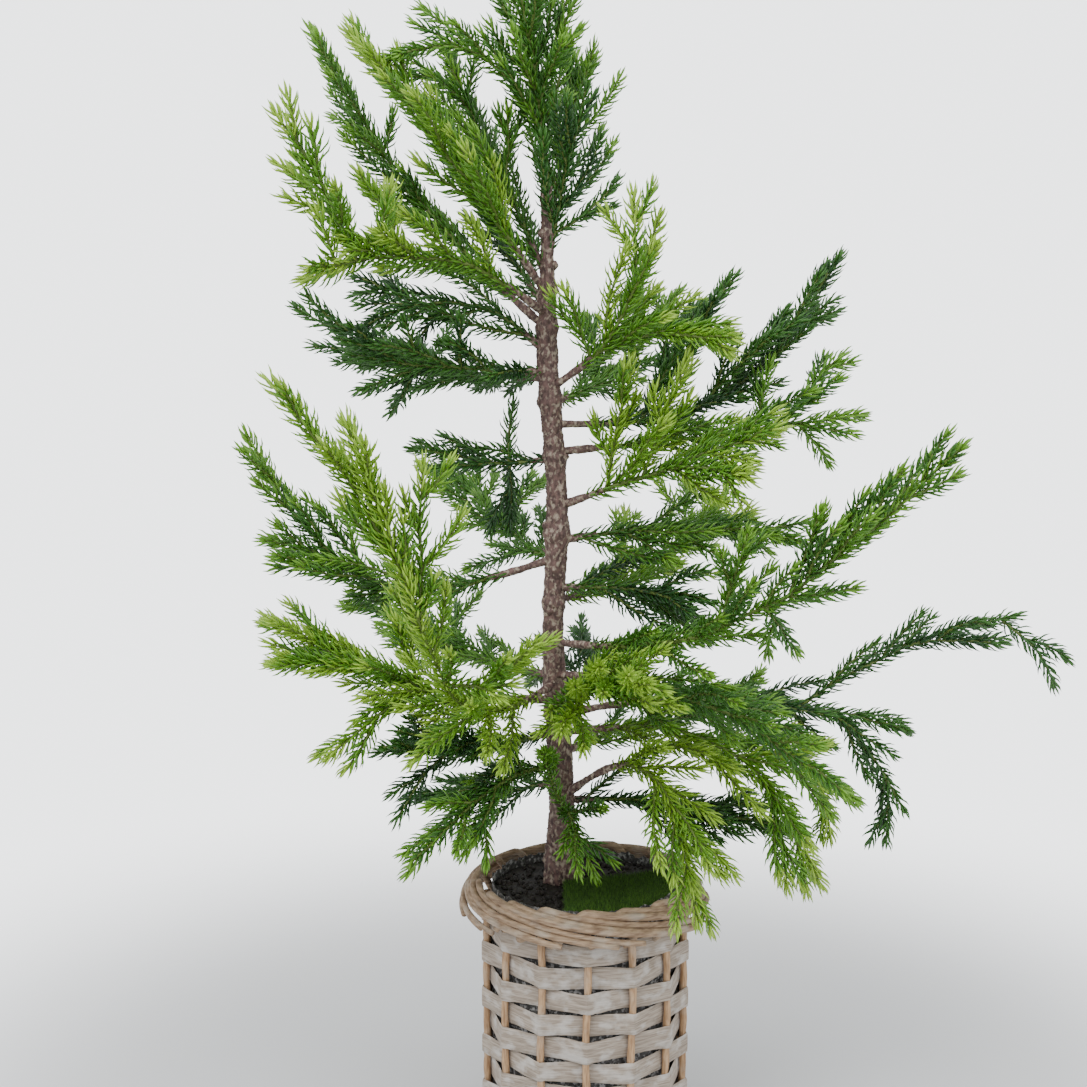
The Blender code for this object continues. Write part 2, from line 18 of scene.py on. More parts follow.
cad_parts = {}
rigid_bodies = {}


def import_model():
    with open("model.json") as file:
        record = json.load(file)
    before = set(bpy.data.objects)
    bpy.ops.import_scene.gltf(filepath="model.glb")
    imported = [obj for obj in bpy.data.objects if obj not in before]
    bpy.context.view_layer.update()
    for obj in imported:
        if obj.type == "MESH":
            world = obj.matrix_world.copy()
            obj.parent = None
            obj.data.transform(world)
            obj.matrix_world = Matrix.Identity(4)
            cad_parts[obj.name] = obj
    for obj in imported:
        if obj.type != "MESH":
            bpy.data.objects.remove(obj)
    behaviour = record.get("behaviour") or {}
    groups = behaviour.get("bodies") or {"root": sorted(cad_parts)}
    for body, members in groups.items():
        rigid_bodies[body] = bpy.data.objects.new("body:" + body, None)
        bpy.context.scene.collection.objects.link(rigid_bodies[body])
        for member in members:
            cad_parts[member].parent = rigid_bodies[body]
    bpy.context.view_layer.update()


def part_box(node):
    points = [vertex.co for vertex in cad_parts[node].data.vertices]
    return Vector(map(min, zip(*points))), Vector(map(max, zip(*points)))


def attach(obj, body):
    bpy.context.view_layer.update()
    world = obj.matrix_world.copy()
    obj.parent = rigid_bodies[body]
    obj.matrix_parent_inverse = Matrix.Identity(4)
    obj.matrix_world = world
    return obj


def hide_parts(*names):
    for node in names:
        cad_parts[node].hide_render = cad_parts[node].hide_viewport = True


LOG = logging.getLogger("potted_cypress")
GOLDEN_ANGLE = math.pi * (3.0 - math.sqrt(5.0))
MOST_TRIANGLES = 190000
UP = np.array((0.0, 0.0, 1.0))


class Tone(Enum):
    """How light the foliage of a bough is: partly the plant's own mix of greens, and partly painted shade, since
    boughs in shade under others or inside the crown are mostly given the dark tone.
    """

    LIGHT = "light"
    MID = "mid"
    DARK = "dark"


@dataclass(frozen=True)
class Shoot:
    """A side shoot: where it leaves its parent, and the straight line from foot to tip."""

    at: float
    heading: float
    rise: float
    length: float
    arch: float = 0.0
    on: int = 0
    swing: float = 0.0


@dataclass(frozen=True)
class Bough:
    """A bough: its height on the trunk, the line from foot to tip, its bow and its shoots."""

    name: str
    height: float
    heading: float
    rise: float
    length: float
    arch: float = 0.0
    swing: float = 0.0
    bare: float = 0.0
    tone: str = "mid"
    shoots: tuple = ()
    dense: float = 1.0


def fan(heading: float, rise: float, length: float) -> tuple:
    """Side shoots leaving by turns to either side, shorter towards the tip.

    Args:
        heading: the parent's compass heading.
        rise: the parent's rise.
        length: the parent's length.

    Returns:
        The shoots, foot first.
    """
    shoots = []
    for index, share in enumerate((0.36, 0.56, 0.74)):
        side = 38 if index % 2 == 0 else -38
        shoots.append(Shoot(share, heading + side, rise + 12, length * (0.50 - 0.22 * share), 0.003))
    return tuple(shoots)


# Each row: name, height, heading, rise, length, arch, swing, bare share, tone, shoots
# The tone column is partly painted shade: boughs in shadow, under others or inside the crown, are mostly set dark.
BOUGHS = (
    Bough("top", 0.5520, 180, 85, 0.124, 0, 0, 0.14, "mid", (
        Shoot(0.33, 127, 59, 0.073, 0.006), Shoot(0.24, 199, 22, 0.098, 0.024),
        Shoot(0.55, 160, 39, 0.038, 0.003, 2), Shoot(0.30, 49, 70, 0.077, 0.004),
        Shoot(0.36, 313, 51, 0.044, 0.003), Shoot(0.20, 53, 46, 0.036, 0.002),
        Shoot(0.55, 234, 63, 0.054, 0.002), Shoot(0.66, 329, 67, 0.048, 0.002))),
    Bough("upper_right", 0.510, 334, 76, 0.098, 0.002, 0.003, 0, "dark", (
        Shoot(0.54, 230, 71, 0.039), Shoot(0.16, 15, 39, 0.048, -0.004))),
    Bough("upper_left_inner", 0.500, 162, 64, 0.143, 0.001, 0.002, 0, "mid", (
        Shoot(0.77, 59, 67, 0.030), Shoot(0.69, 166, 40, 0.055, 0.004),
        Shoot(0.40, 281, 77, 0.044), Shoot(0.50, 137, 9, 0.034, 0.003),
        Shoot(0.36, 139, 13, 0.033, 0.003))),
    Bough("upper_left_near", 0.491, 201, 51, 0.181, 0, 0.011, 0.17, "light", (
        Shoot(0.60, 159, 55, 0.047, 0.003), Shoot(0.24, 180, 79, 0.040))),
    Bough("upper_left_long", 0.472, 172, 51, 0.214, -0.013, -0.009, 0.15, "mid", (
        Shoot(0.63, 161, 35, 0.038, 0.003), Shoot(0.64, 0, 75, 0.023),
        Shoot(0.45, 163, 18, 0.037, 0.003), Shoot(0.47, 224, 53, 0.024),
        Shoot(0.33, 143, 18, 0.053, 0.004))),
    Bough("left_near_fan", 0.480, 222, 9, 0.165, 0.019, 0.004, 0.18, "light", (
        Shoot(0.83, 208, 60, 0.085, 0.003), Shoot(0.80, 180, 48, 0.066, 0.003),
        Shoot(0.76, 329, 75, 0.038), Shoot(0.66, 155, 60, 0.047, 0.002),
        Shoot(0.90, 226, 64, 0.030))),
    Bough("left_under", 0.459, 191, 8, 0.107, 0.021, 0, 0, "dark", (
        Shoot(0.68, 154, 5, 0.046, 0.003), Shoot(0.57, 205, -51, 0.038))),
    Bough("left_mid", 0.448, 205, 6, 0.120, -0.002, 0.015, 0, "dark", (
        Shoot(0.77, 202, 35, 0.065, -0.003), Shoot(0.71, 257, 50, 0.032),
        Shoot(0.62, 154, -19, 0.048), Shoot(0.50, 270, 55, 0.035))),
    Bough("right_high", 0.418, 10, 29, 0.194, -0.037, 0.006, 0.13, "dark", (
        Shoot(0.48, 22, 32, 0.093, 0.010), Shoot(0.43, 339, 42, 0.074, 0.004),
        Shoot(0.28, 12, 60, 0.094, 0.004), Shoot(0.24, 30, 58, 0.076, 0.002))),
    Bough("right_upright", 0.438, 325, 63, 0.122, -0.025, 0, 0.22, "light", (
        Shoot(0.28, 345, 9, 0.076, 0.006), Shoot(0.24, 213, 65, 0.043),
        Shoot(0.45, 322, -10, 0.050, 0.004, 1), Shoot(0.30, 18, 46, 0.047))),
    Bough("right_mid", 0.402, 0, 7, 0.176, -0.002, 0, 0.17, "mid", (
        Shoot(0.66, 48, 71, 0.041), Shoot(0.74, 28, 43, 0.058, 0.002),
        Shoot(0.80, 28, -48, 0.032))),
    Bough("right_bright", 0.370, 337, 21, 0.142, 0, -0.007, 0.20, "light", (
        Shoot(0.24, 323, 77, 0.076), Shoot(0.41, 337, 69, 0.072),
        Shoot(0.49, 319, 0, 0.061, 0.003))),
    Bough("right_level", 0.350, 351, 1, 0.143, 0.007, 0.009, 0, "mid", (
        Shoot(0.26, 312, -17, 0.042), Shoot(0.42, 23, -10, 0.066, 0.004))),
    Bough("right_low_inner", 0.322, 348, -12, 0.092, 0.010, 0, 0, "dark", (
        Shoot(0.30, 20, -22, 0.060, 0.003), Shoot(0.42, 325, -8, 0.046, 0.003),
        Shoot(0.55, 5, -38, 0.046), Shoot(0.60, 340, 28, 0.036, 0.002))),
    Bough("front_right_long", 0.290, 319, 27, 0.292, -0.035, -0.024, 0.14, "mid", (
        Shoot(0.72, 340, 56, 0.053, 0.002), Shoot(0.63, 304, 62, 0.051),
        Shoot(0.57, 45, -45, 0.040), Shoot(0.46, 290, 60, 0.064))),
    Bough("low_right_near", 0.270, 322, -11, 0.204, 0.024, -0.012, 0.15, "mid", (
        Shoot(0.41, 35, -8, 0.052), Shoot(0.50, 34, -17, 0.057))),
    Bough("low_right", 0.235, 348, -28, 0.176, 0.045, -0.009, 0.14, "light", (
        Shoot(0.67, 300, -67, 0.059, 0.004), Shoot(0.55, 16, -42, 0.080, 0.022),
        Shoot(0.40, 24, -16, 0.077))),
    Bough("low_right_under", 0.194, 352, -7, 0.130, 0.006, 0, 0, "dark", (
        Shoot(0.42, 330, -6, 0.056, 0.002), Shoot(0.52, 18, -4, 0.052, 0.002),
        Shoot(0.30, 325, -14, 0.058, 0.003))),
    Bough("far_right", 0.246, 1, -3, 0.206, 0.014, 0.006, 0.34, "dark", (
        Shoot(0.70, 4, 22, 0.140, 0.009), Shoot(0.92, 344, -50, 0.050, 0.004, 1),
        Shoot(0.50, 340, 6, 0.056, 0.003, 1), Shoot(0.78, 355, -66, 0.088, 0.014))),
    Bough("low_front_right", 0.195, 305, -17, 0.133, 0.055, 0.003, 0.34, "light", (
        Shoot(0.71, 339, -47, 0.041), Shoot(0.45, 343, 5, 0.034))),
    Bough("low_front_left", 0.215, 231, -13, 0.137, 0.018, 0.006, 0, "mid", (
        Shoot(0.34, 234, -36, 0.058, 0.003), Shoot(0.60, 215, 5, 0.030))),
    Bough("front_left_low", 0.236, 214, 4, 0.118, -0.006, 0, 0, "dark", (
        Shoot(0.38, 244, 10, 0.050, 0.003), Shoot(0.46, 182, 6, 0.046),
        Shoot(0.62, 205, -30, 0.042), Shoot(0.66, 225, 40, 0.036))),
    Bough("low_front", 0.184, 291, -22, 0.058, 0.020, -0.007, 0, "mid", (
        Shoot(0.50, 255, -25, 0.026),)),
    Bough("front", 0.255, 288, 16, 0.156, 0.003, 0, 0, "light", (
        Shoot(0.42, 300, 4, 0.060), Shoot(0.33, 259, -5, 0.072))),
    Bough("low_left_back", 0.206, 150, -14, 0.099, -0.003, 0, 0, "dark", fan(150, -14, 0.099)),
    Bough("low_left", 0.255, 195, 19, 0.178, -0.012, 0.013, 0.16, "light", (
        Shoot(0.62, 200, 10, 0.060, 0.003), Shoot(0.44, 172, 15, 0.072, 0.005),
        Shoot(0.48, 242, 62, 0.049), Shoot(0.64, 148, 19, 0.040),
        Shoot(0.46, 218, -25, 0.071, 0.003))),
    Bough("front_left_tall", 0.265, 242, 29, 0.185, -0.041, -0.002, 0.13, "light", (
        Shoot(0.97, 197, 57, 0.126, 0.004), Shoot(0.93, 225, 66, 0.103),
        Shoot(0.87, 286, 83, 0.083), Shoot(0.62, 312, 3, 0.040, 0.004),
        Shoot(0.51, 315, 37, 0.071))),
    Bough("far_left", 0.340, 187, 23, 0.191, -0.050, 0.004, 0.16, "mid", (
        Shoot(0.58, 168, 17, 0.049), Shoot(0.56, 206, 13, 0.047),
        Shoot(0.51, 164, 50, 0.057, 0.002), Shoot(0.27, 170, -3, 0.057))),
    Bough("left_inner", 0.398, 174, 6, 0.080, -0.006, 0, 0, "dark", (
        Shoot(0.45, 146, 19, 0.038), Shoot(0.32, 92, -65, 0.048),
        Shoot(0.33, 75, 73, 0.035))),
    Bough("back_top", 0.522, 75, 58, 0.125, -0.004, 0, 0, "mid", fan(75, 58, 0.125)),
    Bough("back_left_high", 0.484, 120, 43, 0.160, -0.010, 0, 0, "dark", fan(120, 43, 0.160)),
    Bough("back_right_high", 0.430, 60, 20, 0.165, -0.014, 0, 0, "mid", fan(60, 20, 0.165)),
    Bough("back_left", 0.445, 140, 2, 0.160, -0.006, 0, 0, "dark", fan(140, 2, 0.160)),
    Bough("back_middle", 0.340, 110, 10, 0.170, -0.010, 0, 0, "mid", fan(110, 10, 0.170)),
    Bough("back_right", 0.315, 50, 15, 0.180, -0.018, 0, 0, "light", fan(50, 15, 0.180)),
    Bough("back_left_low", 0.270, 130, 5, 0.170, -0.010, 0, 0, "mid", fan(130, 5, 0.170)),
    Bough("back_low", 0.240, 75, 0, 0.170, 0.012, 0, 0, "dark", fan(75, 0, 0.170)),
    Bough("back_right_low", 0.222, 32, -5, 0.170, 0.018, 0, 0, "mid", fan(32, -5, 0.170)),
)


def fresh_group(name: str, inputs: tuple, outputs: tuple) -> bpy.types.NodeTree:
    """Make an empty shader group with named sockets.

    Args:
        name: the group's name.
        inputs: (name, socket type) pairs.
        outputs: (name, socket type) pairs.

    Returns:
        The group, with its input and output nodes in place.
    """
    group = bpy.data.node_groups.new(name, "ShaderNodeTree")
    for label, kind in inputs:
        group.interface.new_socket(label, in_out="INPUT", socket_type=kind)
    for label, kind in outputs:
        group.interface.new_socket(label, in_out="OUTPUT", socket_type=kind)
    group.nodes.new("NodeGroupInput").name = "in"
    group.nodes.new("NodeGroupOutput").name = "out"
    return group


def ramp(tree: bpy.types.NodeTree, source: bpy.types.NodeSocket, low: float, high: float) -> bpy.types.NodeSocket:
    """Stretch a value so that low becomes 0 and high becomes 1.

    Args:
        tree: the tree to add the node to.
        source: the value.
        low: the value that becomes 0.
        high: the value that becomes 1.

    Returns:
        The stretched value's socket.
    """
    node = tree.nodes.new("ShaderNodeMapRange")
    node.inputs["From Min"].default_value = low
    node.inputs["From Max"].default_value = high
    tree.links.new(source, node.inputs["Value"])
    return node.outputs["Result"]


def noise_at(tree: bpy.types.NodeTree, place: bpy.types.NodeSocket, scale: float, detail: float) -> bpy.types.NodeSocket:
    """Add a noise texture.

    Args:
        tree: the tree to add the node to.
        place: the coordinates.
        scale: the noise's scale.
        detail: how many octaves it has.

    Returns:
        The noise value's socket.
    """
    node = tree.nodes.new("ShaderNodeTexNoise")
    node.inputs["Scale"].default_value = scale
    node.inputs["Detail"].default_value = detail
    tree.links.new(place, node.inputs["Vector"])
    return node.outputs["Fac"]


def blend(tree: bpy.types.NodeTree, share: bpy.types.NodeSocket, first: bpy.types.NodeSocket,
          second: bpy.types.NodeSocket) -> bpy.types.NodeSocket:
    """Mix two colours by a share that changes over the surface.

    Args:
        tree: the tree to add the node to.
        share: 0 for the first colour, 1 for the second.
        first: the first colour.
        second: the second colour.

    Returns:
        The mixed colour's socket.
    """
    node = tree.nodes.new("ShaderNodeMix")
    node.data_type = "RGBA"
    tree.links.new(share, node.inputs[0])
    tree.links.new(first, node.inputs[6])
    tree.links.new(second, node.inputs[7])
    return node.outputs[2]


def weathering_group() -> bpy.types.NodeTree:
    """Streaks along the stretched coordinates with patches of wash over them.

    Returns:
        The group, with a Place, three colours, and Colour, Roughness and Height out.
    """
    name = "weathering"
    if name in bpy.data.node_groups:
        return bpy.data.node_groups[name]
    colour, value = "NodeSocketColor", "NodeSocketFloat"
    group = fresh_group(
        name,
        (("Place", "NodeSocketVector"), ("Patch Place", "NodeSocketVector"), ("Pale", colour),
         ("Deep", colour), ("Wash", colour), ("Wash Share", value)),
        (("Colour", colour), ("Roughness", value), ("Height", value)))
    inlet = group.nodes["in"].outputs
    outlet = group.nodes["out"].inputs
    streaks = noise_at(group, inlet["Place"], 1.0, 4.0)
    patches = noise_at(group, inlet["Patch Place"], 1.0, 3.0)
    ground = blend(group, ramp(group, streaks, 0.34, 0.66), inlet["Deep"], inlet["Pale"])
    worn = group.nodes.new("ShaderNodeMath")
    worn.operation = "MULTIPLY"
    group.links.new(ramp(group, patches, 0.50, 0.66), worn.inputs[0])
    group.links.new(inlet["Wash Share"], worn.inputs[1])
    group.links.new(blend(group, worn.outputs[0], ground, inlet["Wash"]), outlet["Colour"])
    group.links.new(streaks, outlet["Height"])
    rough = group.nodes.new("ShaderNodeMapRange")
    rough.inputs["To Min"].default_value = 0.55
    rough.inputs["To Max"].default_value = 0.9
    group.links.new(patches, rough.inputs["Value"])
    group.links.new(rough.outputs["Result"], outlet["Roughness"])
    return group


@dataclass(frozen=True)
class Weathered:
    """A streaked and patchy finish: wood, bark, film or soil."""

    name: str
    pale: tuple
    deep: tuple
    wash: tuple
    wash_share: float
    streaks: tuple
    patches: tuple
    bump: float
    bump_depth: float = 0.0006

    def material(self) -> bpy.types.Material:
        """Build the material once and return it."""
        found = bpy.data.materials.get(self.name)
        if found:
            return found
        made = bpy.data.materials.new(self.name)
        made.use_nodes = True
        tree = made.node_tree
        shader = tree.nodes["Principled BSDF"]
        place = tree.nodes.new("ShaderNodeTexCoord").outputs["Object"]
        group = tree.nodes.new("ShaderNodeGroup")
        group.node_tree = weathering_group()
        for label, scale in (("Place", self.streaks), ("Patch Place", self.patches)):
            mapping = tree.nodes.new("ShaderNodeMapping")
            mapping.inputs["Scale"].default_value = scale
            tree.links.new(place, mapping.inputs["Vector"])
            tree.links.new(mapping.outputs["Vector"], group.inputs[label])
        group.inputs["Pale"].default_value = (*self.pale, 1.0)
        group.inputs["Deep"].default_value = (*self.deep, 1.0)
        group.inputs["Wash"].default_value = (*self.wash, 1.0)
        group.inputs["Wash Share"].default_value = self.wash_share
        tree.links.new(group.outputs["Colour"], shader.inputs["Base Color"])
        tree.links.new(group.outputs["Roughness"], shader.inputs["Roughness"])
        bump = tree.nodes.new("ShaderNodeBump")
        bump.inputs["Strength"].default_value = self.bump
        bump.inputs["Distance"].default_value = self.bump_depth
        tree.links.new(group.outputs["Height"], bump.inputs["Height"])
        tree.links.new(bump.outputs["Normal"], shader.inputs["Normal"])
        return made


@dataclass(frozen=True)
class Moulded:
    """A plain moulded plastic of one colour, for needles, stems and pile."""

    name: str
    colour: tuple
    roughness: float = 0.42

    def material(self) -> bpy.types.Material:
        """Build the material once and return it."""
        found = bpy.data.materials.get(self.name)
        if found:
            return found
        made = bpy.data.materials.new(self.name)
        made.use_nodes = True
        shader = made.node_tree.nodes["Principled BSDF"]
        shader.inputs["Base Color"].default_value = (*self.colour, 1.0)
        shader.inputs["Roughness"].default_value = self.roughness
        return made


STRIP_WOOD = Weathered("strip_wood", (0.46, 0.39, 0.32), (0.25, 0.20, 0.155), (0.66, 0.64, 0.61), 0.55,
                       (90.0, 90.0, 1300.0), (95.0, 95.0, 150.0), 0.5)
ROD_WOOD = Weathered("rod_wood", (0.44, 0.31, 0.20), (0.20, 0.125, 0.075), (0.50, 0.45, 0.38), 0.45,
                     (150.0, 150.0, 900.0), (70.0, 70.0, 120.0), 0.4)
STAKE_WOOD = Weathered("stake_wood", (0.56, 0.36, 0.20), (0.30, 0.17, 0.085), (0.55, 0.47, 0.38), 0.35,
                       (900.0, 900.0, 120.0), (120.0, 120.0, 90.0), 0.35)
FILM = Weathered("liner_film", (0.10, 0.095, 0.09), (0.03, 0.028, 0.026), (0.55, 0.54, 0.53), 0.7,
                 (300.0, 300.0, 300.0), (420.0, 420.0, 420.0), 0.4)
EARTH = Weathered("earth", (0.022, 0.015, 0.011), (0.006, 0.005, 0.004), (0.05, 0.035, 0.025), 0.5,
                  (900.0, 900.0, 900.0), (300.0, 300.0, 300.0), 0.8)
BARK = Weathered("bark_sleeve", (0.20, 0.115, 0.10), (0.065, 0.036, 0.033), (0.50, 0.41, 0.32), 0.8,
                 (500.0, 500.0, 260.0), (430.0, 430.0, 330.0), 0.8)
STEM_GREEN = Moulded("stem_green", (0.15, 0.21, 0.045), 0.5)
PILE_GREEN = (Moulded("pile_deep", (0.035, 0.10, 0.006), 0.8), Moulded("pile_fresh", (0.075, 0.18, 0.010), 0.8),
              Moulded("pile_dark", (0.018, 0.055, 0.004), 0.85))
# Greens for each tone; the darker tones stand partly for painted shade on boughs in shadow, and the tip shades for
# young growth.
NEEDLE_GREENS = {
    Tone.LIGHT: (Moulded("needle_light_leaf", (0.16, 0.36, 0.018)), Moulded("needle_light_grass", (0.11, 0.29, 0.016)),
                 Moulded("needle_light_lime", (0.25, 0.46, 0.030)), Moulded("needle_light_tip", (0.36, 0.58, 0.060))),
    Tone.MID: (Moulded("needle_mid_leaf", (0.070, 0.215, 0.016)), Moulded("needle_mid_grass", (0.048, 0.165, 0.015)),
               Moulded("needle_mid_fresh", (0.11, 0.285, 0.020)), Moulded("needle_mid_tip", (0.17, 0.38, 0.030))),
    Tone.DARK: (Moulded("needle_dark_leaf", (0.028, 0.115, 0.014)), Moulded("needle_dark_deep", (0.016, 0.075, 0.012)),
                Moulded("needle_dark_fresh", (0.045, 0.155, 0.016)), Moulded("needle_dark_blue", (0.020, 0.105, 0.040))),
}


def mesh_object(name: str, points: np.ndarray, blocks: list, finishes: list, picks: np.ndarray | None = None,
                smooth: bool = True, sharp: float | None = None) -> bpy.types.Object:
    """Make one object from arrays.

    Args:
        name: the piece's name.
        points: the corners, one row each.
        blocks: arrays of faces, each with its own number of corners a face.
        finishes: the materials, in slot order.
        picks: the slot of each face, in the order of the blocks.
        smooth: whether the faces are shaded smooth.
        sharp: the angle in degrees past which an edge stays sharp.

    Returns:
        The new object, linked to the scene.
    """
    corners = np.concatenate([block.ravel() for block in blocks]).astype(np.int32)
    sizes = np.concatenate([np.full(len(block), block.shape[1]) for block in blocks])
    starts = np.concatenate(([0], np.cumsum(sizes)[:-1])).astype(np.int32)
    mesh = bpy.data.meshes.new(name)
    mesh.vertices.add(len(points))
    mesh.vertices.foreach_set("co", np.ascontiguousarray(points, dtype=np.float32).ravel())
    mesh.loops.add(len(corners))
    mesh.loops.foreach_set("vertex_index", corners)
    mesh.polygons.add(len(starts))
    mesh.polygons.foreach_set("loop_start", starts)
    for finish in finishes:
        mesh.materials.append(finish.material())
    if picks is not None:
        mesh.polygons.foreach_set("material_index", picks.astype(np.int32))
    mesh.update(calc_edges=True)
    if smooth:
        mesh.shade_smooth()
    if sharp is not None:
        mesh.set_sharp_from_angle(angle=math.radians(sharp))
    made = bpy.data.objects.new(name, mesh)
    bpy.context.scene.collection.objects.link(made)
    return made


@dataclass
class Gathering:
    """Corners and faces of many small shapes on their way into one mesh."""

    points: list = field(default_factory=list)
    quads: list = field(default_factory=list)
    tris: list = field(default_factory=list)
    quad_picks: list = field(default_factory=list)
    tri_picks: list = field(default_factory=list)
    count: int = 0

    def add(self, points: np.ndarray, quads: np.ndarray | None = None, tris: np.ndarray | None = None,
            pick: int = 0) -> None:
        """Add one shape, whose faces count its own corners from 0."""
        if quads is not None and len(quads):
            self.quads.append(quads + self.count)
            self.quad_picks.append(np.full(len(quads), pick))
        if tris is not None and len(tris):
            self.tris.append(tris + self.count)
            self.tri_picks.append(np.full(len(tris), pick))
        self.points.append(points)
        self.count += len(points)

    def triangles(self) -> int:
        """Count the triangles so far."""
        return 2 * sum(len(block) for block in self.quads) + sum(len(block) for block in self.tris)

    def piece(self, name: str, finishes: list, smooth: bool = True, sharp: float | None = None) -> bpy.types.Object:
        """Join everything into one object."""
        blocks = [np.concatenate(group) for group in (self.quads, self.tris) if group]
        picks = np.concatenate(self.quad_picks + self.tri_picks)
        return mesh_object(name, np.concatenate(self.points), blocks, finishes, picks, smooth, sharp)


def settle(piece: bpy.types.Object, slot: str, *nodes: str) -> None:
    """Fix a finished piece to the frame and report it.

    Args:
        piece: the finished object.
        slot: the record's material slot; not used.
        nodes: the frame's nodes that it stands for.
    """
    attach(piece, "root")
    if nodes:
        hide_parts(*nodes)
    count = sum(len(polygon.vertices) - 2 for polygon in piece.data.polygons)
    LOG.info("%s: %d triangles", piece.name, count)


def unit(vectors: np.ndarray) -> np.ndarray:
    """Scale each row to length 1."""
    length = np.linalg.norm(vectors, axis=-1, keepdims=True)
    return vectors / np.maximum(length, 1e-9)


def directions(heading: float, rise: float) -> tuple:
    """Unit vectors along, left of and above a straight line with this heading and rise."""
    turn = math.radians(heading)
    lift = math.radians(rise)
    along = np.array((math.cos(turn) * math.cos(lift), math.sin(turn) * math.cos(lift), math.sin(lift)))
    left = np.array((-math.sin(turn), math.cos(turn), 0.0))
    return along, left, np.cross(along, left)


def on_bow(start: np.ndarray, limb: Bough | Shoot, shares: np.ndarray) -> np.ndarray:
    """Points of a bowed limb at shares of its length.

    Args:
        start: the limb's foot.
        limb: the bough or shoot.
        shares: the shares of its length.

    Returns:
        One point for each share.
    """
    along, left, above = directions(limb.heading, limb.rise)
    bow = np.sin(np.pi * shares)[:, None]
    return start + along * (limb.length * shares)[:, None] + (above * limb.arch + left * limb.swing) * bow


def tube(line: np.ndarray, radii: np.ndarray, sides: int, closed_ring: bool = False) -> tuple:
    """Skin rings round a line; an open line gets pointed ends.

    Args:
        line: the points of the middle line.
        radii: the radius at each point, or one radius for each point and side.
        sides: the corners of each ring.
        closed_ring: whether the line runs back into its own start.

    Returns:
        Corners, quads and triangles.
    """
    count = len(line)
    ahead = np.roll(line, -1, 0) - np.roll(line, 1, 0)
    if not closed_ring:
        ahead[0] = line[1] - line[0]
        ahead[-1] = line[-1] - line[-2]
    along = unit(ahead)
    across = np.empty_like(along)
    start = np.cross(UP, along[0])
    if np.linalg.norm(start) < 1e-3:
        start = np.array((1.0, 0.0, 0.0))
    held = start
    for index in range(count):
        held = held - along[index] * held.dot(along[index])
        held = held / np.linalg.norm(held)
        across[index] = held
    above = np.cross(along, across)
    angles = np.arange(sides) * math.tau / sides
    outward = across[:, None] * np.cos(angles)[None, :, None] + above[:, None] * np.sin(angles)[None, :, None]
    reach = np.broadcast_to(radii[:, None] if radii.ndim == 1 else radii, (count, sides))
    points = (line[:, None] + outward * reach[:, :, None]).reshape(-1, 3)
    rows = count if closed_ring else count - 1
    row = np.repeat(np.arange(rows), sides)
    side = np.tile(np.arange(sides), rows)
    following = (row + 1) % count
    after = (side + 1) % sides
    quads = np.stack([row * sides + side, row * sides + after, following * sides + after,
                      following * sides + side], 1)
    if closed_ring:
        return points, quads, np.empty((0, 3), int)
    foot = count * sides
    points = np.concatenate([points, line[:1], line[-1:]])
    ring = np.arange(sides)
    turned = (ring + 1) % sides
    tris = np.concatenate([
        np.stack([turned, ring, np.full(sides, foot)], 1),
        np.stack([ring + foot - sides, turned + foot - sides, np.full(sides, foot + 1)], 1)])
    return points, quads, tris


def relief(points: np.ndarray, scale: tuple, octaves: int = 3) -> np.ndarray:
    """Fractal noise at each point, about -1 to 1.

    Args:
        points: the places.
        scale: the noise's scale along each axis.
        octaves: how many octaves are added.

    Returns:
        One value for each point.
    """
    places = points * np.array(scale)
    return np.array([noise.fractal(Vector(place), 0.6, 2.0, octaves) for place in places])


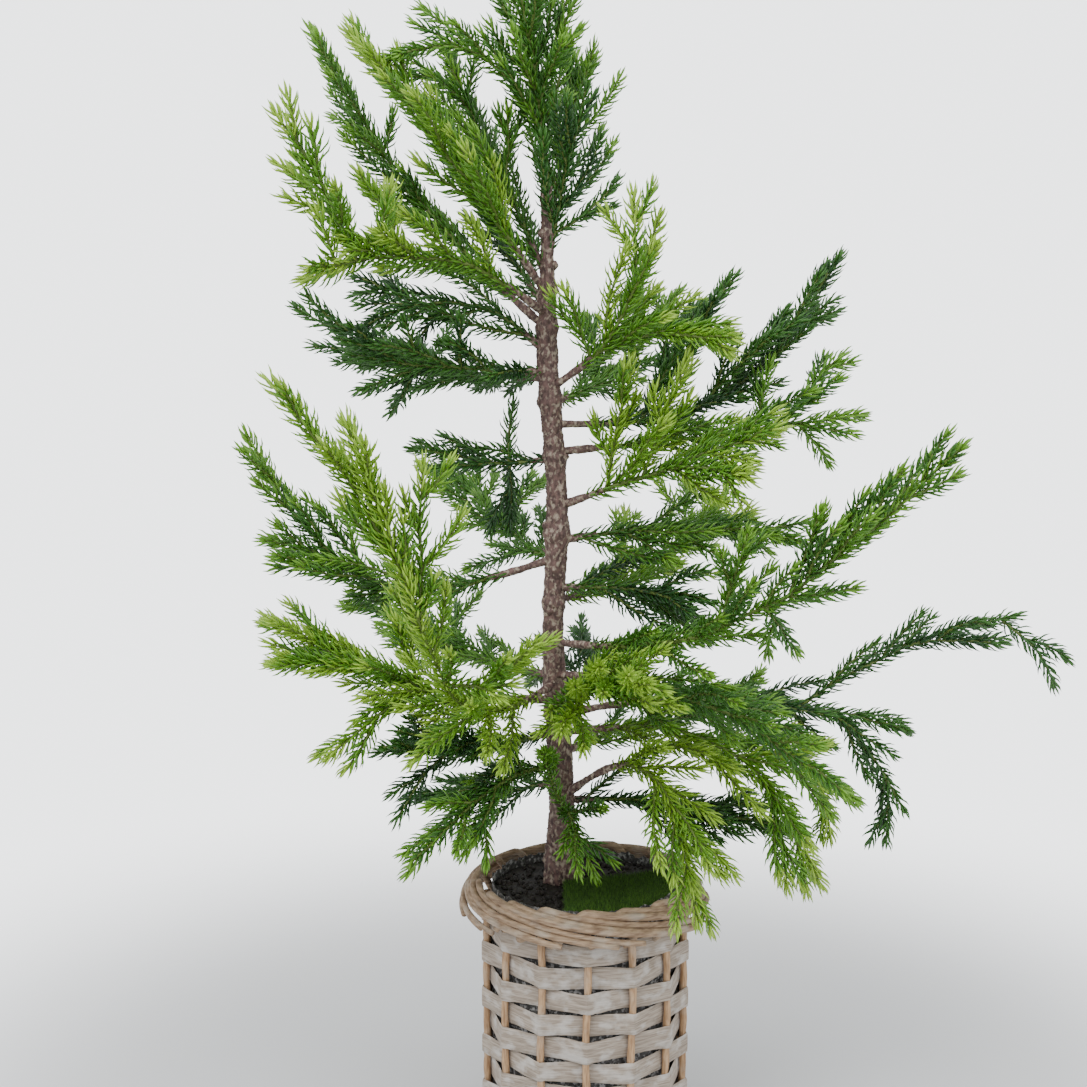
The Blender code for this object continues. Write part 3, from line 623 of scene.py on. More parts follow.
@dataclass
class Trunk:
    """The bark-covered stem: taper, lean, collars of old boughs, stubs and root lumps."""

    foot: tuple = (-0.0134, 0.0145)
    top: tuple = (-0.0231, 0.0020)
    wave: float = 0.0022
    taper: tuple = ((0.0, 0.0108), (0.05, 0.0090), (0.18, 0.0072), (0.35, 0.0063),
                    (0.76, 0.0059), (0.86, 0.0042), (1.0, 0.0031))
    collars: tuple = (0.26, 0.42, 0.52, 0.63, 0.71, 0.81, 0.87)
    collar_swell: float = 0.0011
    collar_spread: float = 0.014
    sides: int = 48
    ring_step: float = 0.0009
    bark_depth: float = 0.00062
    root_depth: float = 0.0021

    def __post_init__(self) -> None:
        """Read the heights of the foot and the top from the frame."""
        low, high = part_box("trunk")
        self.low = low.z + 0.0003
        self.high = high.z

    def share(self, height: np.ndarray) -> np.ndarray:
        """Share of the trunk's height, from 0 at its foot to 1 at its top."""
        return (height - self.low) / (self.high - self.low)

    def centre(self, height: np.ndarray) -> np.ndarray:
        """Middle of the trunk at each height: a lean to the left with a slight wave."""
        share = self.share(np.atleast_1d(height))
        foot = np.array((*self.foot, self.low))
        top = np.array((*self.top, self.high))
        middle = foot + (top - foot) * share[:, None]
        swing = np.sin(np.pi * share.clip(0, 1)) * np.sin(math.tau * 2.2 * share)
        middle[:, 0] += self.wave * swing
        return middle

    def radius(self, height: np.ndarray) -> np.ndarray:
        """Radius of the trunk at each height, with its collars."""
        share = self.share(np.atleast_1d(height)).clip(0, 1)
        table = np.array(self.taper)
        radius = np.interp(share, table[:, 0], table[:, 1])
        for collar in self.collars:
            radius = radius + self.collar_swell * np.exp(-((share - collar) / self.collar_spread) ** 2)
        return radius

    def build(self) -> None:
        """Make the stem with its relief, and the stubs of old boughs."""
        heights = np.arange(self.low, self.high, self.ring_step)
        line = self.centre(heights)
        share = self.share(heights)[:, None]
        angle = (np.arange(self.sides) * math.tau / self.sides)[None, :]
        lumps = 0.10 * np.exp(-share * 14.0) * np.sin(3.0 * angle + 0.6)
        ridges = 0.05 * np.sin(2.0 * angle + 25.0 * share) + 0.03 * np.sin(4.0 * angle - 40.0 * share)
        radii = self.radius(heights)[:, None] * (1.0 + lumps + ridges)
        outward = np.stack([np.cos(angle), np.sin(angle), np.zeros_like(angle)], -1)
        skin = (line[:, None] + outward * radii[:, :, None]).reshape(-1, 3)
        plates = relief(skin, (330.0, 330.0, 170.0), 4).reshape(radii.shape)
        cracks = relief(skin + 3.0, (600.0, 600.0, 900.0), 3).reshape(radii.shape)
        roots = relief(skin + 9.0, (150.0, 150.0, 110.0), 3).reshape(radii.shape)
        steps = sum(np.tanh((share - collar) * 260.0) * np.exp(-((share - collar) / 0.016) ** 2)
                    for collar in self.collars)
        radii = radii + self.bark_depth * (plates + 0.45 * cracks - 0.9 * (np.abs(plates) < 0.07))
        radii = radii + self.root_depth * roots * np.exp(-share * 16.0) - 0.0005 * steps
        gathered = Gathering()
        gathered.add(*tube(line, radii, self.sides))
        piece = gathered.piece("trunk_bark", [BARK])
        settle(piece, "bark", "trunk")
        self.build_stubs()

    def build_stubs(self) -> None:
        """Make the short cut ends of old boughs that stand out of the bark."""
        gathered = Gathering()
        stubs = ((0.396, 355), (0.506, 12), (0.492, 340), (0.430, 20), (0.356, 195), (0.307, 250),
                 (0.462, 160), (0.372, 80), (0.268, 120), (0.225, 60), (0.524, 200))
        for index, (height, heading) in enumerate(stubs):
            start = self.centre(height)[0]
            along, _, _ = directions(heading, 28.0)
            reach = self.radius(height)[0] + 0.0022
            shares = np.array((0.0, 0.55, 0.86, 0.97, 1.0))
            line = start + along * (reach * shares)[:, None]
            radii = np.array((0.0034, 0.0031, 0.0024, 0.0020, 0.0011)) * (0.8 + 0.12 * (index % 3))
            uneven = 1.0 + 0.12 * np.sin(np.arange(12)[None, :] * 2.3 + index + np.arange(5)[:, None])
            gathered.add(*tube(line, radii[:, None] * uneven, 12))
        settle(gathered.piece("bough_stubs", [BARK]), "bark")


@dataclass
class Stem:
    """One green stem with needles on it."""

    line: np.ndarray
    foot_radius: float
    tip_radius: float
    bough: str
    tone: Tone
    shade: int
    needle: float
    clothed: float = 0.0

    def length(self) -> float:
        """Length along the line."""
        return float(np.linalg.norm(np.diff(self.line, axis=0), axis=1).sum())


@dataclass
class Crown:
    """Boughs, twigs and needles, grown from the bough table by a seeded branching rule."""

    trunk: Trunk
    seed: int = 4100
    point_step: float = 0.0045
    stem_radius: float = 0.0011
    tip_radius: float = 0.00050
    limb_foot: float = 0.0026
    limb_end: float = 0.0017
    first_twig: float = 0.010
    twig_spacing: float = 0.0125
    twig_length: float = 0.062
    twig_taper: float = 0.50
    shortest_twig: float = 0.017
    needle_lengths: dict = field(default_factory=lambda: {
        Tone.LIGHT: 0.0118, Tone.MID: 0.0106, Tone.DARK: 0.0100})
    needle_pitch: float = 0.00074
    needle_width: float = 0.00145
    needle_depth: float = 0.00095
    needle_open: float = 57.0
    needle_curl: float = -40.0
    needle_rings: tuple = ((0.17, 0.95), (0.66, 0.86))
    stems: list = field(default_factory=list)

    def foot_of(self, bough: Bough) -> np.ndarray:
        """Where a bough leaves the trunk's middle line."""
        height = min(bough.height, self.trunk.high)
        return self.trunk.centre(height)[0]

    def line_of(self, start: np.ndarray, limb: Bough | Shoot, low: float, rng: np.random.Generator) -> np.ndarray:
        """Points of a limb from a share of its length to its tip, with a slight natural wave."""
        count = max(6, round(limb.length * (1.0 - low) / self.point_step) + 1)
        shares = np.linspace(low, 1.0, count)
        line = on_bow(start, limb, shares)
        _, left, above = directions(limb.heading, limb.rise)
        turns = limb.length / 0.055
        phase = rng.uniform(0.0, math.tau, 2)
        wave = 0.0009 * np.sin(math.pi * (shares - low) / (1.0 - low))
        line += left * (wave * np.sin(math.tau * turns * shares + phase[0]))[:, None]
        line += above * (wave * np.sin(math.tau * turns * shares * 0.8 + phase[1]))[:, None]
        return line

    def grow(self) -> None:
        """Grow every bough's stems."""
        for number, bough in enumerate(BOUGHS):
            rng = np.random.default_rng(self.seed + number)
            self.grow_bough(bough, rng)

    def grow_bough(self, bough: Bough, rng: np.random.Generator) -> None:
        """Grow one bough: its main stem, its named shoots and the twigs between them.

        Args:
            bough: the bough's row.
            rng: the bough's own random numbers.
        """
        tone = Tone(bough.tone)
        foot = self.foot_of(bough)
        needle = self.needle_lengths[tone]
        low = max(0.0, bough.bare - 0.008 / bough.length)
        main = Stem(self.line_of(foot, bough, low, rng), self.limb_end * 0.92, self.tip_radius, bough.name, tone,
                    int(rng.integers(3)), needle, 0.0 if bough.bare else 0.05)
        grown = [main]
        feet = [foot]
        limbs = [bough]
        for shoot in bough.shoots:
            start = on_bow(feet[shoot.on], limbs[shoot.on], np.array([shoot.at]))[0]
            feet.append(start)
            limbs.append(shoot)
            line = self.line_of(start, shoot, 0.0, rng)
            grown.append(Stem(line, self.stem_radius, self.tip_radius, bough.name, tone, int(rng.integers(3)),
                              needle * rng.uniform(0.92, 1.08), 0.03))
        twigs = []
        for index, parent in enumerate(grown):
            twigs += self.side_twigs(parent, bough, index == 0, rng)
        self.stems += grown + twigs

    def side_twigs(self, parent: Stem, bough: Bough, main: bool, rng: np.random.Generator) -> list:
        """Twigs that leave a stem by turns to either side.

        Args:
            parent: the stem that they grow from.
            bough: the bough that it belongs to.
            main: whether the parent is the bough's main stem.
            rng: the bough's own random numbers.

        Returns:
            The new stems.
        """
        total = parent.length()
        if total < 0.040:
            return []
        spacing = self.twig_spacing * (1.0 if main else 1.25) / bough.dense
        reach = np.concatenate([[0.0], np.cumsum(np.linalg.norm(np.diff(parent.line, axis=0), axis=1))])
        at = self.first_twig + spacing * rng.uniform(0.0, 0.5)
        side = rng.choice((-1.0, 1.0))
        twigs = []
        while at < total - self.shortest_twig:
            share = at / total
            index = int(np.searchsorted(reach, at).clip(1, len(reach) - 2))
            foot = parent.line[index]
            along = unit(parent.line[index + 1] - parent.line[index - 1])
            left = np.cross(UP, along)
            left = unit(left) if np.linalg.norm(left) > 0.2 else np.array((1.0, 0.0, 0.0))
            above = np.cross(along, left)
            roll = math.radians(rng.normal(12.0, 34.0))
            outward = side * left * math.cos(roll) + above * math.sin(roll)
            spread = math.radians(rng.uniform(34.0, 50.0))
            size = self.twig_length * (1.0 if main else 0.66) * (1.0 - self.twig_taper * share)
            size = min(size * rng.uniform(0.72, 1.12), (total - at) * 1.02)
            sag = rng.normal(0.0, 0.16) - 0.10
            if size > self.shortest_twig:
                shares = np.linspace(0.0, 1.0, max(5, round(size / self.point_step) + 1))
                turn = spread - math.radians(26.0) * shares
                step = along * np.cos(turn)[:, None] + outward * np.sin(turn)[:, None]
                step = step + UP * (sag * shares)[:, None]
                line = foot + np.concatenate([[np.zeros(3)], np.cumsum(step[1:], 0)]) * size / (len(shares) - 1)
                if self.clear_of_trunk(line[-1]):
                    twigs.append(Stem(line, self.stem_radius * 0.85, self.tip_radius, parent.bough, parent.tone,
                                      int(rng.integers(3)), parent.needle * rng.uniform(0.90, 1.02), 0.06))
            side = -side
            at += spacing * rng.uniform(0.75, 1.3)
        return twigs

    def clear_of_trunk(self, point: np.ndarray) -> bool:
        """Whether a tip stands clear of the trunk and above the pot's rim."""
        if point[2] > self.trunk.high:
            return True
        away = point[:2] - self.trunk.centre(point[2])[0][:2]
        low = point[2] < 0.152 and np.hypot(*point[:2]) < 0.078
        return bool(np.linalg.norm(away) > self.trunk.radius(point[2])[0] + 0.004) and not low

    def needles_of(self, stem: Stem, rng: np.random.Generator) -> tuple:
        """Needles set in a spiral round one stem, curving forward.

        Args:
            stem: the stem that carries them.
            rng: the random numbers of its bough.

        Returns:
            Corners, triangles and the share of the stem's length of each triangle's needle.
        """
        reach = np.concatenate([[0.0], np.cumsum(np.linalg.norm(np.diff(stem.line, axis=0), axis=1))])
        total = reach[-1]
        first = stem.clothed * total
        count = int((total - first) / self.needle_pitch)
        order = np.arange(count)
        at = first + (order + rng.uniform(0.2, 0.8, count)) * self.needle_pitch
        foot = np.stack([np.interp(at, reach, stem.line[:, axis]) for axis in range(3)], 1)
        slope = unit(np.gradient(stem.line, axis=0))
        along = unit(np.stack([np.interp(at, reach, slope[:, axis]) for axis in range(3)], 1))
        reference = np.where(np.abs(along[:, 2:]) > 0.97, np.array((1.0, 0.0, 0.0)), UP)
        left = unit(np.cross(reference, along))
        above = np.cross(along, left)
        turn = order * GOLDEN_ANGLE + rng.normal(0.0, 0.14, count)
        outward = left * np.cos(turn)[:, None] + above * np.sin(turn)[:, None]
        side = np.cross(along, outward)
        closing = np.exp((at - total) / 0.007)
        begin = np.radians(self.needle_open - 34.0 * closing + rng.normal(0.0, 6.0, count))
        bend = np.radians(self.needle_curl + 18.0 * closing + rng.normal(0.0, 6.0, count).clip(-12.0, 12.0))
        size = stem.needle * (1.0 - 0.22 * closing) * (0.75 + 0.25 * np.minimum(1.0, (at - first) / 0.008))
        size = size * rng.uniform(0.86, 1.12, count)

        def node(share: float, wide: float) -> tuple:
            turned = begin + bend * share
            run = (np.sin(turned) - np.sin(begin)) / bend
            rise = (np.cos(begin) - np.cos(turned)) / bend
            middle = foot + (along * run[:, None] + outward * rise[:, None]) * size[:, None]
            back = outward * np.cos(turned)[:, None] - along * np.sin(turned)[:, None]
            half = side * (self.needle_width * 0.5 * wide)
            return middle, half, back * (self.needle_depth * wide)

        columns = [node(0.0, 0.0)[0] + outward * (stem.tip_radius * 0.5)]
        for share, wide in self.needle_rings:
            middle, half, back = node(share, wide)
            columns += [middle + half, middle - half, middle + back]
        columns.append(node(1.0, 0.0)[0])
        points = np.stack(columns, 1)
        width = points.shape[1]
        rings = len(self.needle_rings)
        faces = [(0, 1 + (corner + 1) % 3, 1 + corner) for corner in range(3)]
        for ring in range(rings - 1):
            for corner in range(3):
                here, there = 1 + 3 * ring + corner, 1 + 3 * ring + (corner + 1) % 3
                faces += [(here, there, there + 3), (here, there + 3, here + 3)]
        last = 1 + 3 * (rings - 1)
        faces += [(last + corner, last + (corner + 1) % 3, width - 1) for corner in range(3)]
        template = np.array(faces)
        tris = (template[None] + (order * width)[:, None, None]).reshape(-1, 3)
        share = np.repeat((at - first) / max(total - first, 1e-6), len(template))
        return points.reshape(-1, 3), tris, share

    def build_needles(self) -> None:
        """Make the needles, tone by tone, in joined pieces below the triangle limit."""
        by_bough = {}
        for stem in self.stems:
            by_bough.setdefault(stem.bough, []).append(stem)
        for tone in Tone:
            gathered = Gathering()
            nodes = []
            made = 0
            names = [bough.name for bough in BOUGHS if bough.tone == tone.value]
            for name in names:
                rng = np.random.default_rng(self.seed + 900 + names.index(name))
                shapes = [(stem, *self.needles_of(stem, rng)) for stem in by_bough[name]]
                coming = sum(len(tris) for _, _, tris, _ in shapes)
                if nodes and gathered.triangles() + coming > MOST_TRIANGLES:
                    made += 1
                    self.settle_needles(gathered, tone, made, nodes)
                    gathered = Gathering()
                    nodes = []
                for stem, points, tris, share in shapes:
                    gathered.add(points, None, tris, stem.shade)
                    young = 3 if tone is not Tone.DARK else 2
                    gathered.tri_picks[-1] = np.where(share > 0.80, young, stem.shade)
                nodes.append("foliage_" + name)
            self.settle_needles(gathered, tone, made + 1, nodes)

    @staticmethod
    def settle_needles(gathered: Gathering, tone: Tone, number: int, nodes: list) -> None:
        """Join one piece of needles and fix it to the frame."""
        piece = gathered.piece(f"needles_{tone.value}_{number}", list(NEEDLE_GREENS[tone]))
        settle(piece, "foliage_" + tone.value, *nodes)

    def build_stems(self) -> None:
        """Make the green stems under the needles."""
        gathered = Gathering()
        for stem in self.stems:
            radii = np.linspace(stem.foot_radius, stem.tip_radius, len(stem.line))
            gathered.add(*tube(stem.line, radii, 5))
        settle(gathered.piece("green_twigs", [STEM_GREEN]), "foliage_mid")

    def build_limbs(self) -> None:
        """Make the bark-covered feet of the boughs, and the leader's green foot."""
        gathered = Gathering()
        nodes = []
        for number, bough in enumerate(BOUGHS):
            foot = self.foot_of(bough)
            if bough.height > self.trunk.high:
                shares = np.linspace(-0.01, bough.bare + 0.02, 12)
                leader = Gathering()
                radii = np.linspace(self.limb_foot, self.limb_end, 12)
                leader.add(*tube(on_bow(foot, bough, shares), radii, 12))
                settle(leader.piece("leader_stem", [STEM_GREEN]), "foliage_mid", "leader")
                continue
            high = bough.bare + 0.03 if bough.bare else 0.16
            count = max(8, round(bough.length * high / 0.0011))
            shares = np.linspace(0.0, high, count)
            line = on_bow(foot, bough, shares)
            radii = np.linspace(self.limb_foot, self.limb_end, count)[:, None] * np.ones((1, 14))
            points, _, _ = tube(line, radii, 14)
            rough = relief(points[:-2] + number, (420.0, 420.0, 420.0), 3).reshape(count, 14)
            knots = 0.12 * np.sin(shares * bough.length / 0.0042 + number)[:, None]
            gathered.add(*tube(line, radii * (1.0 + 0.16 * rough + knots), 14))
            if bough.bare:
                nodes.append("bough_" + bough.name)
        settle(gathered.piece("bough_bark", [BARK]), "bark", *nodes)

    def build(self) -> None:
        """Grow and build the whole crown."""
        self.grow()
        self.build_limbs()
        self.build_stems()
        self.build_needles()


@dataclass
class Basket:
    """The woven basket: stakes, flat strips, the rolled border of rods and the base."""

    stakes: int = 14
    rows: int = 9
    stake_radius: float = 0.0021
    strip_thick: float = 0.0011
    strip_tall: float = 0.0127
    rod_radius: float = 0.0024
    border_turn: float = 132.0
    seed: int = 77

    def __post_init__(self) -> None:
        """Read the body's and the rim's sizes from the frame."""
        low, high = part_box("basket_body")
        self.body_radius = high.x
        self.body_top = high.z
        self.floor = low.z
        low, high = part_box("basket_rim")
        self.rim_outer = high.x
        self.rim_low = low.z
        self.rim_high = high.z
        self.stake_ring = self.body_radius - self.strip_thick - self.stake_radius - 0.0006
        self.pitch = (self.body_top - 0.003) / self.rows

    def angle(self, index: float) -> float:
        """Compass angle of a stake, in radians; stake 0 is in the middle of the side shown."""
        return math.radians(270.0 + index * 360.0 / self.stakes)

    def build_stakes(self) -> None:
        """Make the upright round stakes, pressed in and out by the strips."""
        gathered = Gathering()
        for stake in range(self.stakes):
            heights = np.linspace(0.0022, self.body_top + 0.006, 90)
            press = np.cos((heights - 0.003) / self.pitch * math.pi - math.pi / 2 + math.pi * (stake % 2 + 0.0))
            ring = self.stake_ring - 0.00035 * press
            angle = self.angle(stake) + 0.010 * np.sin(heights * 70.0 + stake)
            line = np.stack([ring * np.cos(angle), ring * np.sin(angle), heights], 1)
            radii = self.stake_radius * (1.0 + 0.06 * np.sin(heights * 300.0 + 2.0 * stake))
            gathered.add(*tube(line, radii, 12))
        settle(gathered.piece("basket_stakes", [STAKE_WOOD]), "willow_rods")

    def build_strips(self) -> None:
        """Make one flat strip for each row, in front of and behind the stakes by turns."""
        gathered = Gathering()
        rng = np.random.default_rng(self.seed)
        parts = 12
        offset = self.stake_radius + self.strip_thick * 0.5
        for row in range(self.rows):
            tall = self.strip_tall * rng.uniform(0.93, 1.05)
            middle = 0.003 + self.pitch * (row + 0.5)
            corners = []
            for stake in range(self.stakes):
                outside = (stake + row) % 2 == 0
                ring = self.stake_ring + (offset if outside else -offset)
                corners.append((ring * math.cos(self.angle(stake)), ring * math.sin(self.angle(stake))))
            corners = np.array(corners)
            shares = np.arange(parts) / parts
            eased = shares - 0.055 * np.sin(math.tau * shares)
            following = np.roll(corners, -1, 0)
            flat = corners[:, None] + (following - corners)[:, None] * eased[None, :, None]
            flat = flat.reshape(-1, 2)
            count = len(flat)
            heading = np.roll(flat, -1, 0) - np.roll(flat, 1, 0)
            outward = unit(np.stack([heading[:, 1], -heading[:, 0]], 1))
            around = np.arange(count) / count * math.tau
            drift = 0.00045 * np.sin(3.0 * around + rng.uniform(0, 6)) + 0.0003 * np.sin(7.0 * around + row)
            upper = 0.5 * tall + 0.00035 * np.sin(11.0 * around + row) + rng.normal(0.0, 0.00010, count)
            lower = 0.5 * tall + 0.00035 * np.sin(13.0 * around - row) + rng.normal(0.0, 0.00010, count)
            half = self.strip_thick * 0.5
            section = ((-1.0, -0.35), (-0.86, 0.8), (-0.3, 1.0), (0.3, 1.0), (0.86, 0.8), (1.0, -0.35), (0.0, -1.0))
            columns = []
            for rise, depth in section:
                reach = np.where(rise > 0, upper, lower) * abs(rise) * np.sign(rise)
                place = flat + outward * (depth * half)
                columns.append(np.stack([place[:, 0], place[:, 1], middle + drift + reach], 1))
            points = np.stack(columns, 1).reshape(-1, 3)
            sides = len(section)
            step = np.repeat(np.arange(count), sides)
            side = np.tile(np.arange(sides), count)
            ahead = (step + 1) % count
            after = (side + 1) % sides
            quads = np.stack([step * sides + side, ahead * sides + side, ahead * sides + after,
                              step * sides + after], 1)
            gathered.add(points, quads)
        settle(gathered.piece("basket_strips", [STRIP_WOOD], sharp=38.0), "willow_strips", "basket_body")

    def build_border(self) -> None:
        """Make the rolled border: each rod runs on round the rim from its top to its underside."""
        gathered = Gathering()
        rng = np.random.default_rng(self.seed + 1)
        inner = self.body_radius - 0.0035
        outer = self.rim_outer - self.rod_radius
        top = self.rim_high - self.rod_radius - 0.0004
        bottom = self.rim_low + self.rod_radius
        shares = np.linspace(0.0, 1.0, 72)
        for rod in range(self.stakes + 4):
            begin = self.angle(rod * self.stakes / (self.stakes + 4)) - math.radians(20.0)
            turn = math.radians(self.border_turn) * rng.uniform(0.85, 1.15)
            angle = begin + turn * shares
            lift = np.minimum(1.0, shares / 0.16)
            lift = lift * lift * (3.0 - 2.0 * lift)
            swell = rng.uniform(-0.0012, 0.0016)
            loops = 0.0022 * np.exp(-((np.cos(angle - math.radians(188.0)) - 1.0) / 0.25) ** 2)
            ring = inner + (outer - inner) * (shares ** 0.9) + (swell + loops) * np.sin(math.pi * shares)
            height = top + (bottom - top) * shares ** 1.25
            height += rng.uniform(-0.0006, 0.0008) * np.sin(math.pi * shares)
            height = self.body_top - 0.002 + (height - self.body_top + 0.002) * lift
            line = np.stack([ring * np.cos(angle), ring * np.sin(angle), height], 1)
            radii = self.rod_radius * rng.uniform(0.82, 1.08) * (1.0 - 0.25 * shares)
            gathered.add(*tube(line, radii, 10))
        settle(gathered.piece("basket_border", [ROD_WOOD]), "willow_rods", "basket_rim")

    def build_base(self) -> None:
        """Make the board and the rod ring that the basket stands on."""
        gathered = Gathering()
        around = np.linspace(0.0, math.tau, 96, endpoint=False)
        for ring, height in ((self.stake_ring, 0.0021), (self.stake_ring - 0.0046, 0.0024)):
            line = np.stack([ring * np.cos(around), ring * np.sin(around), np.full(96, self.floor + height)], 1)
            radii = np.full(96, 0.0021) * (1.0 + 0.04 * np.sin(around * 9.0))
            gathered.add(*tube(line, radii, 10, closed_ring=True))
        board = self.stake_ring - 0.0035
        rings = ((0.0, 0.0006), (0.96 * board, 0.0006), (board, 0.0012), (board, 0.0034), (0.96 * board, 0.0040),
                 (0.0, 0.0040))
        points = [np.stack([ring * np.cos(around), ring * np.sin(around), np.full(96, height)], 1)
                  for ring, height in rings[1:-1]]
        points.append(np.array([(0.0, 0.0, rings[0][1]), (0.0, 0.0, rings[-1][1])]))
        side = np.arange(96)
        after = (side + 1) % 96
        quads = [np.stack([row * 96 + side, row * 96 + after, row * 96 + 96 + after, row * 96 + 96 + side], 1)
                 for row in range(3)]
        last = 4 * 96
        tris = [np.stack([np.full(96, last), after, side], 1),
                np.stack([np.full(96, last + 1), 3 * 96 + side, 3 * 96 + after], 1)]
        gathered.add(np.concatenate(points), np.concatenate(quads), np.concatenate(tris))
        settle(gathered.piece("basket_base", [STRIP_WOOD], sharp=40.0), "willow_strips")

    def build(self) -> None:
        """Build the whole basket."""
        self.build_stakes()
        self.build_strips()
        self.build_border()
        self.build_base()


@dataclass
class Filling:
    """What fills the basket: a crinkled liner, crumbly soil and a piece of turf mat."""

    seed: int = 31
    mat_left: float = -0.0120
    mat_back_left: float = 0.0005
    mat_back_right: float = 0.0190
    blade_pitch: float = 0.00062
    blade_radius: float = 0.00030
    blade_tall: float = 0.0042

    def __post_init__(self) -> None:
        """Read the liner's, the soil's and the mat's sizes from the frame."""
        low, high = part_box("liner")
        self.liner_radius = high.x
        self.liner_low = low.z
        self.liner_top = high.z
        _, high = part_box("soil")
        self.soil_radius = high.x
        self.soil_top = high.z
        low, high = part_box("turf_mat")
        self.mat_low = low.z
        self.mat_radius = high.x

    def build_liner(self) -> None:
        """Make the thin film with its crinkled upper edge."""
        count, levels, thick = 240, 16, 0.0005
        around = np.linspace(0.0, math.tau, count, endpoint=False)
        edge = np.stack([np.cos(around), np.sin(around), np.zeros(count)], 1)
        folds = relief(edge, (9.0, 9.0, 1.0), 4)
        jags = relief(edge + 5.0, (26.0, 26.0, 1.0), 3)
        rows = []
        for level in range(levels):
            share = level / (levels - 1)
            crumple = share ** 3
            radius = self.liner_radius - 0.0007 + 0.0007 * folds * crumple + 0.0005 * jags * crumple
            top = self.liner_top + 0.0016 * folds + 0.0009 * jags
            rows.append((radius, self.liner_low + (top - self.liner_low) * share))
        skin = [(radius, height) for radius, height in rows] + [(radius - thick, height) for radius, height in rows[::-1]]
        points = np.concatenate([np.stack([radius * np.cos(around), radius * np.sin(around), height], 1)
                                 for radius, height in skin])
        total = len(skin)
        row = np.repeat(np.arange(total), count)
        side = np.tile(np.arange(count), total)
        following = (row + 1) % total
        after = (side + 1) % count
        quads = np.stack([row * count + side, row * count + after, following * count + after,
                          following * count + side], 1)
        gathered = Gathering()
        gathered.add(points, quads)
        settle(gathered.piece("liner_film", [FILM], sharp=60.0), "liner", "liner")

    def build_soil(self) -> None:
        """Make the uneven soil and the loose crumbs on it."""
        rng = np.random.default_rng(self.seed)
        gathered = Gathering()
        count, rings = 120, 44
        around = np.linspace(0.0, math.tau, count, endpoint=False)
        radii = self.soil_radius * np.linspace(1.0, 0.02, rings)
        flat = np.stack([np.outer(radii, np.cos(around)), np.outer(radii, np.sin(around)),
                         np.zeros((rings, count))], -1).reshape(-1, 3)
        bumps = relief(flat, (260.0, 260.0, 1.0), 4) * 0.0011 + relief(flat + 4.0, (900.0, 900.0, 1.0), 2) * 0.0004
        flat[:, 2] = self.soil_top + bumps
        under = np.stack([self.soil_radius * np.cos(around), self.soil_radius * np.sin(around),
                          np.full(count, self.soil_top - 0.012)], 1)
        points = np.concatenate([under, flat, [(0.0, 0.0, self.soil_top), (0.0, 0.0, self.soil_top - 0.012)]])
        side = np.arange(count)
        after = (side + 1) % count
        quads = np.concatenate([np.stack([row * count + side, row * count + after, (row + 1) * count + after,
                                          (row + 1) * count + side], 1) for row in range(rings)])
        last = (rings + 1) * count
        tris = np.concatenate([np.stack([rings * count + side, rings * count + after, np.full(count, last)], 1),
                               np.stack([after, side, np.full(count, last + 1)], 1)])
        gathered.add(points, quads, tris)
        settle(gathered.piece("soil_bed", [EARTH]), "soil", "soil")
        crumbs = Gathering()
        for _ in range(520):
            ring = self.soil_radius * 0.96 * math.sqrt(rng.uniform())
            turn = rng.uniform(0.0, math.tau)
            size = rng.uniform(0.0006, 0.0019)
            heights = np.array((-0.8, -0.2, 0.45, 0.9)) * size
            line = np.array([(ring * math.cos(turn), ring * math.sin(turn), self.soil_top + 0.0005 + rise)
                             for rise in heights])
            reach = size * np.array((0.5, 0.95, 0.9, 0.45))[:, None] * rng.uniform(0.7, 1.25, (4, 6))
            crumbs.add(*tube(line, reach, 6))
        settle(crumbs.piece("soil_crumbs", [EARTH], smooth=False), "soil")

    def outline(self) -> np.ndarray:
        """Outline of the mat: straight left and back edges, and the pot's curve in front."""
        first = math.acos(self.mat_left / self.mat_radius)
        last = math.asin(self.mat_back_right / self.mat_radius)
        angles = np.linspace(-first, last, 40)
        curve = self.mat_radius * np.stack([np.cos(angles), np.sin(angles)], 1)
        return np.concatenate([[(self.mat_left, self.mat_back_left)], curve])

    def build_turf(self) -> None:
        """Make the mat's backing and its short pile."""
        outline = self.outline()
        count = len(outline)
        low, high = self.mat_low, self.mat_low + 0.0021
        middle = outline.mean(0)
        inset = middle + (outline - middle) * 0.985
        rings = [np.column_stack([inset, np.full(count, low)]), np.column_stack([outline, np.full(count, low + 0.0006)]),
                 np.column_stack([outline, np.full(count, high - 0.0006)]), np.column_stack([inset, np.full(count, high)])]
        side = np.arange(count)
        after = (side + 1) % count
        quads = np.concatenate([np.stack([row * count + side, row * count + after, (row + 1) * count + after,
                                          (row + 1) * count + side], 1) for row in range(3)])
        caps = np.array([(*middle, low), (*middle, high)])
        tris = np.concatenate([np.stack([after, side, np.full(count, 4 * count)], 1),
                               np.stack([3 * count + side, 3 * count + after, np.full(count, 4 * count + 1)], 1)])
        backing = Gathering()
        backing.add(np.concatenate(rings + [caps]), quads, tris)
        settle(backing.piece("turf_backing", [PILE_GREEN[2]], sharp=40.0), "turf", "turf_mat")
        self.build_pile(outline, high)

